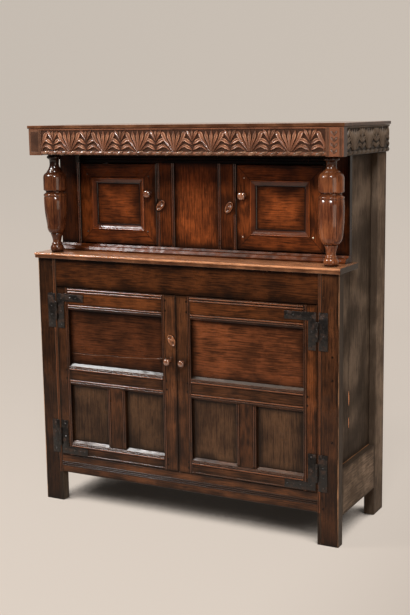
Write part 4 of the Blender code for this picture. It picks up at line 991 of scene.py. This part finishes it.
class CUPBOARD_OT_turn_pillars(bpy.types.Operator):
    """Turns the two pillars and the four knobs with round sides"""

    bl_idname = "cupboard.turn_pillars"
    bl_label = "Turn the pillars and knobs"

    # Tones of the two pillars, which also paint the light and shade each gets
    TONES = {"left": 0.6, "right": 1.22}
    PILLAR_SIDES, KNOB_SIDES = 72, 32
    UPPER_KNOB = (1.2, 1.0, 1.2)
    # Painted shade darkens a pillar from just under its top, below the frieze, and leaves its foot as it is
    SMOKE_TOP, CLEAN_FOOT = Vector((0, 0, 0.03)), Vector((0, 0, 0.3))

    def execute(self, context):
        for side in SIDES:
            node = f"pillar_{side}"
            low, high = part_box(node)
            bm = turned_again(node, (low + high) / 2, Vector((0, 0, 1)), self.PILLAR_SIDES)
            neck_shade_box = (low - self.CLEAN_FOOT, high - self.SMOKE_TOP)
            look = {"axes": [Z], "tone": self.TONES[side], "ripple": 0.5, "coat": 0.5}
            oak = old_oak(f"turned_{node}", "turned", Z, neck_shade_box, Y, 0.08, 0.2, **look)
            finished(f"turned_{node}", bm, oak, "carcase", [node], smooth=38)
            for level in ("lower", "upper"):
                node = f"{level}_knob_{side}"
                low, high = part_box(node)
                middle = (low + high) / 2
                bm = turned_again(node, middle, Vector((0, 1, 0)), self.KNOB_SIDES)
                if level == "upper":
                    about = Matrix.Translation(-middle)
                    bmesh.ops.scale(bm, vec=self.UPPER_KNOB, space=about, verts=bm.verts)
                look = {"ripple": 0.3, "coat": 1.0, "polish": 2.1}
                oak = old_oak(f"turned_{node}", "handled", Y, (low, high), Y, 0.002, 0.12, **look)
                finished(f"turned_{node}", bm, oak, f"{level}_door_{side}", [node], smooth=40)
        return {"FINISHED"}


class CUPBOARD_OT_carve_frieze(bpy.types.Operator):
    """Carves the frieze with palmettes, arched leaves and slanting nulls"""

    bl_idname = "cupboard.carve_frieze"
    bl_label = "Carve the frieze"

    SIDE_PALMETTES = 3
    # The left block's plate, less wide and less high than the block, and its sunk panel
    PLATE, LESS_WIDE, LESS_HIGH = 0.0014, 0.006, 0.010
    PANEL_INSET, PANEL_BEVEL, PANEL_SINK = 0.011, 0.002, 0.0012
    # The right block's beads, from its left and from its right edge, and its pairs of small leaves
    LEFT_BEADS, RIGHT_BEADS = (0.005, 0.011), (0.014, 0.008)
    BEAD_WIDTH, BEAD_RISE = 0.0045, 0.0018
    LEAF_PAIRS, LEAF_WIDTH, LEAF_RISE = 4, 0.009, 0.0022
    BLOCK_LEAF = ((0.0, 0.0), (0.005, 0.009), (0.012, 0.016))
    MARGIN, LEAF_MARGIN, LEAF_ASIDE = 0.004, 0.006, 0.002

    @staticmethod
    def levels(low):
        """Heights of the carving's foot and of the middle of the roll under it."""
        return low.z + FRIEZE_ROLL_RISE + 2 * FRIEZE_ROLL, low.z + FRIEZE_ROLL_RISE + FRIEZE_ROLL

    def execute(self, context):
        sizes = context.scene.cupboard_carving
        low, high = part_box("frieze_front")
        ground = low.y + FRIEZE_SINK
        foot, roll = self.levels(low)
        ends = (low.x + FRIEZE_BLOCKS["left"], high.x - FRIEZE_BLOCKS["right"])
        front = carved_oak("carved_front", "carved", Y, ground, ground - sizes.relief, 0.38, 1.62, 0.27)
        plain = carved_oak("carved_ground", "carved", Y, ground, ground - 1.5 * FRIEZE_SINK, 0.34, 1.3, 0.2)
        CUPBOARD_OT_polish_members.give("frieze_front", plain)

        def on_front(run, height):
            return Vector((run, ground, foot + height))

        def on_front_roll(run, height):
            return Vector((run, low.y + FRIEZE_ROLL, height))

        bm = bmesh.new()
        middle = (ends[0] + ends[1]) / 2
        first = middle - (sizes.palmettes - 1) / 2 * sizes.pitch
        centres = [first + index * sizes.pitch for index in range(sizes.palmettes)]
        carved_run(bm, centres, ends, on_front, FRONT_FACING, sizes)
        finished("carved_frieze_front", bm, front, "carcase", smooth=50)
        bm = bmesh.new()
        nulls(bm, ends[0], ends[1], on_front_roll, sizes, FRONT_FACING, roll)
        waxed = old_oak("waxed_nulls", "carved", X, (low, high), Y, 0.0, 0.2, tone=0.75, coat=0.5)
        finished("frieze_front_nulls", bm, waxed, "carcase", smooth=50)

        for side, sign in SIDES.items():
            self.carve_side(side, sign, sizes)
        self.finish_blocks(low, high)
        return {"FINISHED"}

    def carve_side(self, side, sign, sizes):
        node = f"frieze_side_{side}"
        low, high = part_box(node)
        outward = Vector((sign, 0, 0))
        edge = high.x if sign > 0 else low.x
        ground = edge - sign * FRIEZE_SINK
        foot, roll = self.levels(low)
        # The side carving's high tone paints light on the side
        worn = carved_oak(f"carved_side_{side}", "side", X, ground, ground + sign * sizes.relief, 0.55, 2.0)
        CUPBOARD_OT_polish_members.give(node, worn)

        def on_side(run, height):
            return Vector((ground, sign * run, foot + height))

        def on_side_roll(run, height):
            return Vector((edge - sign * FRIEZE_ROLL, sign * run, height))

        bm = bmesh.new()
        start, end = sorted((sign * low.y, sign * high.y))
        pitch = (end - start) / self.SIDE_PALMETTES
        centres = [start + pitch * (index + 0.5) for index in range(self.SIDE_PALMETTES)]
        carved_run(bm, centres, (start, end), on_side, outward, sizes)
        finished(f"carved_frieze_{side}", bm, worn, "carcase", smooth=50)
        bm = bmesh.new()
        nulls(bm, start, end, on_side_roll, sizes, outward, roll)
        dry = old_oak(f"dry_nulls_{side}", "side", Y, (low, high), X, 0.0, 0.5)
        finished(f"frieze_{side}_nulls", bm, dry, "carcase", smooth=50)

    def finish_blocks(self, low, high):
        """The end blocks: a sunk panel on the left one, beads and a carved strip on the right one."""
        ground, plate = low.y, self.PLATE
        stiles = carved_oak("carved_blocks", "block", Y, ground + 0.001, ground - plate, 0.4, 0.75)
        bm = bmesh.new()
        width, height = FRIEZE_BLOCKS["left"] - self.LESS_WIDE, high.z - low.z - self.LESS_HIGH
        centre = Vector((low.x + FRIEZE_BLOCKS["left"] / 2, ground - plate / 2, (low.z + high.z) / 2))
        place = Matrix.Translation(centre) @ Matrix.Diagonal((width, plate, height, 1.0))
        bmesh.ops.create_cube(bm, size=1.0, matrix=place)
        bm.normal_update()
        face = min(bm.faces, key=lambda each: each.calc_center_median().y)
        bmesh.ops.inset_region(bm, faces=[face], thickness=self.PANEL_INSET, depth=0.0)
        bmesh.ops.inset_region(bm, faces=[face], thickness=self.PANEL_BEVEL, depth=-self.PANEL_SINK)
        finished("frieze_block_panel", bm, stiles, "carcase")

        bm = bmesh.new()
        left, right = high.x - FRIEZE_BLOCKS["right"], high.x
        bottom, top = low.z + self.MARGIN, high.z - self.MARGIN
        runs = [left + reach for reach in self.LEFT_BEADS] + [right - reach for reach in self.RIGHT_BEADS]
        for run in runs:
            points = [Vector((run, ground, bottom + (top - bottom) * step / 4)) for step in range(5)]
            frames = frames_along(points, [FRONT_FACING] * 5, [self.BEAD_WIDTH] * 5, [self.BEAD_RISE] * 5)
            sweep(bm, ROUND_BEAD, frames)

        def on_block(run, level):
            return Vector((run, ground, level))

        middle = (left + right) / 2 - self.LEAF_ASIDE
        for index in range(self.LEAF_PAIRS):
            rise = (top - bottom - 2 * self.LEAF_MARGIN) / self.LEAF_PAIRS
            level = bottom + self.LEAF_MARGIN + index * rise
            for turn in (-1, 1):
                knots = [(middle + turn * u, level + v) for u, v in self.BLOCK_LEAF]
                leaf(bm, drawn_line(knots), on_block, FRONT_FACING, self.LEAF_WIDTH, self.LEAF_RISE)
        finished("frieze_block_beads", bm, stiles, "carcase", smooth=50)


class CUPBOARD_OT_whittle_buttons(bpy.types.Operator):
    """Rounds the three turn-buttons and gives them a handled polish"""

    bl_idname = "cupboard.whittle_buttons"
    bl_label = "Whittle the turn-buttons"

    BODIES = {
        "upper_turn_button_left": "upper_button_left",
        "upper_turn_button_right": "upper_button_right",
        "lower_turn_button": "lower_button",
    }
    # Edges this far from the pin belong to the outer rim
    RIM_REACH = 0.011

    def execute(self, context):
        for node, body in self.BODIES.items():
            bm = merged_copy(node)
            low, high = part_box(node)
            rim = []
            for edge in bm.edges:
                middle = (edge.verts[0].co + edge.verts[1].co - low - high) / 2
                outer = math.hypot(middle.x, middle.z) > self.RIM_REACH
                if outer and edge.calc_face_angle() > math.radians(80):
                    rim.append(edge)
            bmesh.ops.bevel(bm, geom=rim, offset=0.0016, segments=3, profile=0.5, affect="EDGES", material=-1)
            bmesh.ops.triangulate(bm, faces=bm.faces)
            oak = old_oak(f"handled_{node}", "handled", Z, (low, high), Y, 0.001, 0.2, ripple=0.3, coat=0.5)
            finished(f"whittled_{node}", bm, oak, body, [node], smooth=35)
        return {"FINISHED"}


class CUPBOARD_OT_forge_ironwork(bpy.types.Operator):
    """Blackens the hinges and nails them on"""

    bl_idname = "cupboard.forge_ironwork"
    bl_label = "Forge the ironwork"

    # Nails of a post leaf, as shares of its height; of a door leaf along its arm, and up or down from the arm
    POST_NAILS = (0.1, 0.37, 0.63, 0.9)
    ARM_NAILS = (0.066, 0.093, 0.118)
    LEAF_NAILS = (0.004, 0.058, 0.112)
    # A post leaf's row from its outer edge, and a door leaf's row from the pin
    POST_ROW, LEAF_ROW = 0.016, 0.022
    PLATE, PIN_HALF, ARM_HALF = 0.0025, 0.005, 0.015

    def execute(self, context):
        sizes = context.scene.cupboard_fixings
        iron = wrought_iron("wrought_iron_black")
        for side, sign in SIDES.items():
            for level in ("top", "bottom"):
                hinge = f"{side}_{level}_hinge"
                for half, body in (("door_leaf", f"lower_door_{side}"), ("post_leaf", "carcase")):
                    node = f"{hinge}_{half}"
                    bm = merged_copy(node)
                    bmesh.ops.dissolve_limit(bm, angle_limit=math.radians(1), verts=bm.verts, edges=bm.edges)
                    joined = [edge for edge in bm.edges if edge.is_manifold]
                    sharp = [edge for edge in joined if edge.calc_face_angle() > math.radians(60)]
                    bmesh.ops.bevel(
                        bm, geom=sharp, offset=0.0006, segments=2, profile=0.5, affect="EDGES", material=-1
                    )
                    finished(f"forged_{node}", bm, iron, body, [node], smooth=35)
                    bm = bmesh.new()
                    for index, at in enumerate(self.nail_places(node, half, sign, level == "top")):
                        rose_nail(bm, at, sizes.nail_width, sizes.nail_rise, index + sign + 3.0)
                    finished(f"{hinge}_{half}_nails", bm, iron, body)
        return {"FINISHED"}

    def nail_places(self, node, half, sign, arm_up):
        """Where the nails go: along the upright leaf, and along the arm of a door's leaf."""
        low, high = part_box(node)
        plate = high.y - self.PLATE
        if half == "post_leaf":
            outer = high.x - self.POST_ROW if sign > 0 else low.x + self.POST_ROW
            return [Vector((outer, plate, low.z + (high.z - low.z) * part)) for part in self.POST_NAILS]
        pin = high.x - self.PIN_HALF if sign > 0 else low.x + self.PIN_HALF
        level = high.z - self.ARM_HALF if arm_up else low.z + self.ARM_HALF
        rise = -1 if arm_up else 1
        places = [Vector((pin - sign * reach, plate, level)) for reach in self.ARM_NAILS]
        row = pin - sign * self.LEAF_ROW
        return places + [Vector((row, plate, level + rise * reach)) for reach in self.LEAF_NAILS]


class CUPBOARD_OT_drive_pegs(bpy.types.Operator):
    """Drives the oak pegs of the joints, and the nails of the mitred doors"""

    bl_idname = "cupboard.drive_pegs"
    bl_label = "Drive the pegs"

    # Shares of the width and of the height of each upper door, and how bright its nails are coloured: rubbed
    # iron, which on the right door also paints their glints
    NAILS = {
        "left": ((0.09, 0.17), (0.88, 0.19), (0.1, 0.84), (0.9, 0.82)),
        "right": ((0.068, 0.177), (0.873, 0.198), (0.167, 0.478), (0.09, 0.82)),
    }
    RUBBED = {"left": 1.0, "right": 60.0}
    # Width and rise of a nail, and how far the solid's moulding stands over the face it is driven in
    NAIL_SIZE, MOULDING_RISE = (0.009, 0.0026), 0.0034
    # From a post's inner edge to its pegs, how far the lower peg is aside, and from a door stile's inner edge
    POST_PEG, PEG_ASIDE, DOOR_PEG = 0.019, 0.004, 0.016
    # Two pegs of a rail, from its middle as a share of its height
    PEG_SPREAD = 0.27
    # Pegs of the side rails, which show on the right-hand post
    SIDE_PEGS, SIDE_PEG_LEVELS = 0.629, (0.717, 0.631, 0.399)
    # Pegs of a door's rails: which edge of the rail they are near, and how far over it
    RAIL_PEGS = ((0, 0.022), (0, 0.045), (1, -0.062), (1, -0.028))
    TOP_PEGS = ((0, 0.030), (1, -0.022))

    def execute(self, context):
        sizes = context.scene.cupboard_fixings
        peg_oak = old_oak("peg_oak", "stile", Y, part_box("lower_top_rail"), Y, 0.0)
        bm = bmesh.new()
        places = []
        for side, sign in SIDES.items():
            low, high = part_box(f"front_stile_{side}")
            inner = low.x + self.POST_PEG if sign > 0 else high.x - self.POST_PEG
            for node in ("lower_top_rail", "lower_bottom_rail"):
                rail_low, rail_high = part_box(node)
                middle = (rail_low.z + rail_high.z) / 2
                spread = (rail_high.z - rail_low.z) * self.PEG_SPREAD
                places.append(Vector((inner, low.y, middle + spread)))
                places.append(Vector((inner + self.PEG_ASIDE, low.y, middle - spread)))
        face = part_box("front_stile_right")[0].y
        places += [Vector((self.SIDE_PEGS, face, level)) for level in self.SIDE_PEG_LEVELS]
        for index, at in enumerate(places):
            whittled_peg(bm, at, sizes, index + 0.4)
        finished("case_pegs", bm, peg_oak, "carcase", smooth=30)

        for side, sign in SIDES.items():
            self.peg_door(side, sign, sizes, peg_oak)
            iron = wrought_iron(f"rubbed_iron_{side}", self.RUBBED[side])
            low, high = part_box(f"upper_door_{side}_frame")
            face = low.y + self.MOULDING_RISE
            bm = bmesh.new()
            for index, (u, v) in enumerate(self.NAILS[side]):
                at = Vector((low.x + u * (high.x - low.x), face, low.z + v * (high.z - low.z)))
                rose_nail(bm, at, *self.NAIL_SIZE, index + 0.7)
            finished(f"upper_door_{side}_nails", bm, iron, f"upper_door_{side}")
        return {"FINISHED"}

    def peg_door(self, side, sign, sizes, peg_oak):
        door = f"lower_door_{side}"
        rails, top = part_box(f"{door}_lower_rails"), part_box(f"{door}_top_rail")
        bm = bmesh.new()
        index = 0
        for stile, inner in (("hinge_stile", -sign), ("lock_stile", sign)):
            low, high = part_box(f"{door}_{stile}")
            across = high.x - self.DOOR_PEG if inner > 0 else low.x + self.DOOR_PEG
            levels = [rails[edge].z + over for edge, over in self.RAIL_PEGS]
            if stile == "lock_stile":
                levels += [top[edge].z + over for edge, over in self.TOP_PEGS]
            for level in levels:
                index += 1
                whittled_peg(bm, Vector((across, low.y, level)), sizes, index)
        finished(f"{door}_pegs", bm, peg_oak, door, smooth=30)


class CUPBOARD_OT_split_panel(bpy.types.Operator):
    """Makes the left door's wide panel as two boards, parted by the crack that runs along it"""

    bl_idname = "cupboard.split_panel"
    bl_label = "Split the left panel"

    LEVEL, STEPS = 0.634, 28
    # Foot and head of each pale lip on the side board, and how far back they are
    SIDE_LIPS = ((0.4159, 0.455), (0.5017, 0.556))
    SIDE_CRACK = -0.0676

    @staticmethod
    def drift(along):
        """How far the crack has left its level, at a share of the panel's width."""
        return 0.014 * along**3 + 0.004 * noise.noise(Vector((along * 5.0, 0.3, 0.7)))

    def execute(self, context):
        gap = context.scene.cupboard_fixings.crack_width
        node = "lower_door_left_upper_panel"
        low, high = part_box(node)
        level = self.LEVEL
        bm = bmesh.new()
        for bottom, top, side in ((low.z, level, -1), (level, high.z, 1)):
            middle = Vector(((low.x + high.x) / 2, (low.y + high.y) / 2, (bottom + top) / 2))
            spread = (high.x - low.x, high.y - low.y, top - bottom)
            place = Matrix.Translation(middle) @ Matrix.Diagonal((*spread, 1.0))
            made = bmesh.ops.create_cube(bm, size=1.0, matrix=place)["verts"]
            geom = made + list({edge for vert in made for edge in vert.link_edges})
            geom += list({face for vert in made for face in vert.link_faces})
            for step in range(1, self.STEPS):
                cut = low.x + (high.x - low.x) * step / self.STEPS
                geom = bmesh.ops.bisect_plane(bm, geom=geom, plane_co=(cut, 0, 0), plane_no=(1, 0, 0))["geom"]
            for vert in {v for item in geom for v in getattr(item, "verts", [item])}:
                if abs(vert.co.z - level) < 1e-5:
                    along = (vert.co.x - low.x) / (high.x - low.x)
                    opening = gap * (0.25 + math.sin(math.pi * min(along * 1.05, 1.0)))
                    vert.co.z += self.drift(along) + side * opening / 2
        lip = []
        for along in (step / self.STEPS for step in range(self.STEPS + 1)):
            lip.append(Vector((low.x + (high.x - low.x) * along, low.y, level + self.drift(along) - gap)))
        edge = bmesh.new()
        count = len(lip)
        frames = frames_along(lip, [FRONT_FACING] * count, [gap * 1.2] * count, [gap * 0.3] * count)
        sweep(edge, ROUND_BEAD, frames)
        bare = old_oak("bare_splinters", "ledge", X, (low, high), Y, 0.0, 0.4, tone=0.55)
        finished("left_panel_splinters", edge, bare, "lower_door_left", smooth=40)
        oak = old_oak("waxed_left_panel", "panel", X, (low, high), Y, 0.036, tone=0.42)
        finished("split_left_panel", bm, oak, "lower_door_left", [node])
        self.paint_side_crack(gap)
        return {"FINISHED"}

    def paint_side_crack(self, gap):
        """Pale lips of the crack that runs up the right-hand side board, coloured as painted light."""
        low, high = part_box("side_board_right")
        bm = bmesh.new()
        for bottom, top in self.SIDE_LIPS:
            lip, widths = [], []
            for step in range(9):
                back = self.SIDE_CRACK + 0.0006 * math.sin(5 * step)
                lip.append(Vector((high.x, back, bottom + (top - bottom) * step / 8)))
                widths.append(2.2 * gap * math.sin(math.pi * (step + 0.5) / 9))
            sweep(bm, ROUND_BEAD, frames_along(lip, [Vector((1, 0, 0))] * 9, widths, [gap * 0.4] * 9))
        # Painted light: the lips are coloured far brighter than bare oak, brighter than a surface can reflect
        bare = old_oak("bare_crack", "ledge", Z, (low, high), X, 0.0, 0.5, tone=6.5)
        finished("side_board_splinters", bm, bare, "carcase", smooth=40)


class CUPBOARD_OT_set_stage(bpy.types.Operator):
    """Lays the paper floor and backdrop, hangs the lamps and sets the camera"""

    bl_idname = "cupboard.set_stage"
    bl_label = "Set the stage"

    EYE = Vector((2.1037, -3.9512, 1.5933))
    YAW, PITCH, ROLL = math.radians(28.13), math.radians(9.79), math.radians(-0.87)

    # Place, aim, width, height, and whether the light is warm
    LAMPS = {
        "side": ((-2.25, -1.8, 3.15), (0, 0, 0.6), 0.8, 0.65, False),
        "front": ((1.6, -3.5, 4.0), (0, 0, 0.9), 0.9, 0.9, False),
        "bounce": ((-1.2, -1.85, 3.4), (0, 0, 0.6), 0.9, 0.8, True),
        "window": ((3.6, -2.7, 1.35), (0, 0, 1.0), 2.2, 2.3, True),
    }
    # The paper: its ends, its near edge, where it starts to turn up, the turn's radius and the rise above it
    PAPER_ENDS, PAPER_NEAR, PAPER_TURN = (-7.5, 7.5), -2.2, 4.0
    TURN_RADIUS, PAPER_RISE = 1.6, 6.0

    def execute(self, context):
        settings = context.scene.cupboard_stage
        self.lay_paper(settings)
        self.light_room(context.scene, settings)
        for name, (at, target, width, height, warm) in self.LAMPS.items():
            tint = settings.lamplight if warm else (1.0, 1.0, 1.0)
            watts = getattr(settings, f"{name}_power")
            self.hang_lamp(f"{name}_lamp", at, target, width, height, watts, tint)
        self.set_camera(context.scene, settings)
        context.scene.view_settings.view_transform = "Standard"
        return {"FINISHED"}

    def lay_paper(self, settings):
        bm = bmesh.new()
        ends = [bm.verts.new((x, self.PAPER_NEAR, 0.0)) for x in self.PAPER_ENDS]
        verts, row = drawn_out(bm, [bm.edges.new(ends)])
        bmesh.ops.translate(bm, verts=verts, vec=(0.0, self.PAPER_TURN - self.PAPER_NEAR, 0.0))
        middle = (0.0, self.PAPER_TURN, self.TURN_RADIUS)
        spun = bmesh.ops.spin(bm, geom=row, axis=(1, 0, 0), cent=middle, angle=math.radians(90), steps=16)
        row = [item for item in spun["geom_last"] if isinstance(item, bmesh.types.BMEdge)]
        bmesh.ops.translate(bm, verts=drawn_out(bm, row)[0], vec=(0.0, 0.0, self.PAPER_RISE))
        bmesh.ops.recalc_face_normals(bm, faces=bm.faces)
        bm.normal_update()
        if min(bm.faces, key=lambda face: face.calc_center_median().z).normal.z < 0:
            bmesh.ops.reverse_faces(bm, faces=bm.faces)
        mesh = bpy.data.meshes.new("paper_floor")
        bm.to_mesh(mesh)
        bm.free()
        mesh.shade_smooth()
        mesh.materials.append(matt_paper(settings))
        floor = bpy.data.objects.new("paper_floor", mesh)
        bpy.context.scene.collection.objects.link(floor)

    @staticmethod
    def light_room(scene, settings):
        world = bpy.data.worlds.new("studio")
        world.use_nodes = True
        sky = world.node_tree.nodes["Background"]
        sky.inputs["Color"].default_value = (*settings.sky, 1.0)
        sky.inputs["Strength"].default_value = settings.sky_strength
        scene.world = world

    @staticmethod
    def hang_lamp(name, at, target, width, height, power, tint):
        lamp = bpy.data.lights.new(name, "AREA")
        lamp.color = tint
        lamp.shape = "RECTANGLE"
        lamp.size, lamp.size_y = width, height
        lamp.energy = power
        held = bpy.data.objects.new(name, lamp)
        aim = (Vector(target) - Vector(at)).to_track_quat("-Z", "Y")
        held.matrix_world = Matrix.Translation(at) @ aim.to_matrix().to_4x4()
        bpy.context.scene.collection.objects.link(held)

    def set_camera(self, scene, settings):
        lens = bpy.data.cameras.new("photograph")
        lens.sensor_width = 36.0
        lens.lens = settings.lens
        lens.clip_end = 100.0
        forward = math.cos(self.PITCH)
        ahead = Vector((-math.sin(self.YAW) * forward, math.cos(self.YAW) * forward, -math.sin(self.PITCH)))
        level = Vector((math.cos(self.YAW), math.sin(self.YAW), 0.0))
        upright = level.cross(ahead)
        across = math.cos(self.ROLL) * level + math.sin(self.ROLL) * upright
        up = math.cos(self.ROLL) * upright - math.sin(self.ROLL) * level
        camera = bpy.data.objects.new("photograph", lens)
        placed = Matrix((across, up, -ahead)).transposed().to_4x4()
        placed.translation = self.EYE
        camera.matrix_world = placed
        scene.collection.objects.link(camera)
        scene.camera = camera


OPERATORS = (
    CUPBOARD_OT_polish_members,
    CUPBOARD_OT_run_beads,
    CUPBOARD_OT_mould_doors,
    CUPBOARD_OT_turn_pillars,
    CUPBOARD_OT_carve_frieze,
    CUPBOARD_OT_whittle_buttons,
    CUPBOARD_OT_forge_ironwork,
    CUPBOARD_OT_drive_pegs,
    CUPBOARD_OT_split_panel,
    CUPBOARD_OT_set_stage,
)
SETTINGS = {
    "cupboard_colours": OakColours,
    "cupboard_wood": WoodSizes,
    "cupboard_beads": BeadSizes,
    "cupboard_carving": CarvingSizes,
    "cupboard_fixings": FixingSizes,
    "cupboard_stage": StageSettings,
}


class CUPBOARD_PT_workshop(bpy.types.Panel):
    """Lists the steps of the work and the sizes and colours they use"""

    bl_label = "Press cupboard"
    bl_space_type = "VIEW_3D"
    bl_region_type = "UI"
    bl_category = "Cupboard"

    def draw(self, context):
        for operator in OPERATORS:
            self.layout.operator(operator.bl_idname)
        for name, group in SETTINGS.items():
            box = self.layout.box()
            for setting in group.__annotations__:
                box.prop(getattr(context.scene, name), setting)


CLASSES = (*SETTINGS.values(), *OPERATORS, CUPBOARD_PT_workshop)


def register():
    for each in CLASSES:
        bpy.utils.register_class(each)
    for name, group in SETTINGS.items():
        setattr(bpy.types.Scene, name, PointerProperty(type=group))


def unregister():
    for name in SETTINGS:
        delattr(bpy.types.Scene, name)
    for each in reversed(CLASSES):
        bpy.utils.unregister_class(each)


def main():
    register()
    bpy.ops.cupboard.polish_members()
    bpy.ops.cupboard.run_beads()
    bpy.ops.cupboard.mould_doors()
    bpy.ops.cupboard.turn_pillars()
    bpy.ops.cupboard.carve_frieze()
    bpy.ops.cupboard.whittle_buttons()
    bpy.ops.cupboard.forge_ironwork()
    bpy.ops.cupboard.drive_pegs()
    bpy.ops.cupboard.split_panel()
    bpy.ops.cupboard.set_stage()


if __name__ == "__main__":
    main()
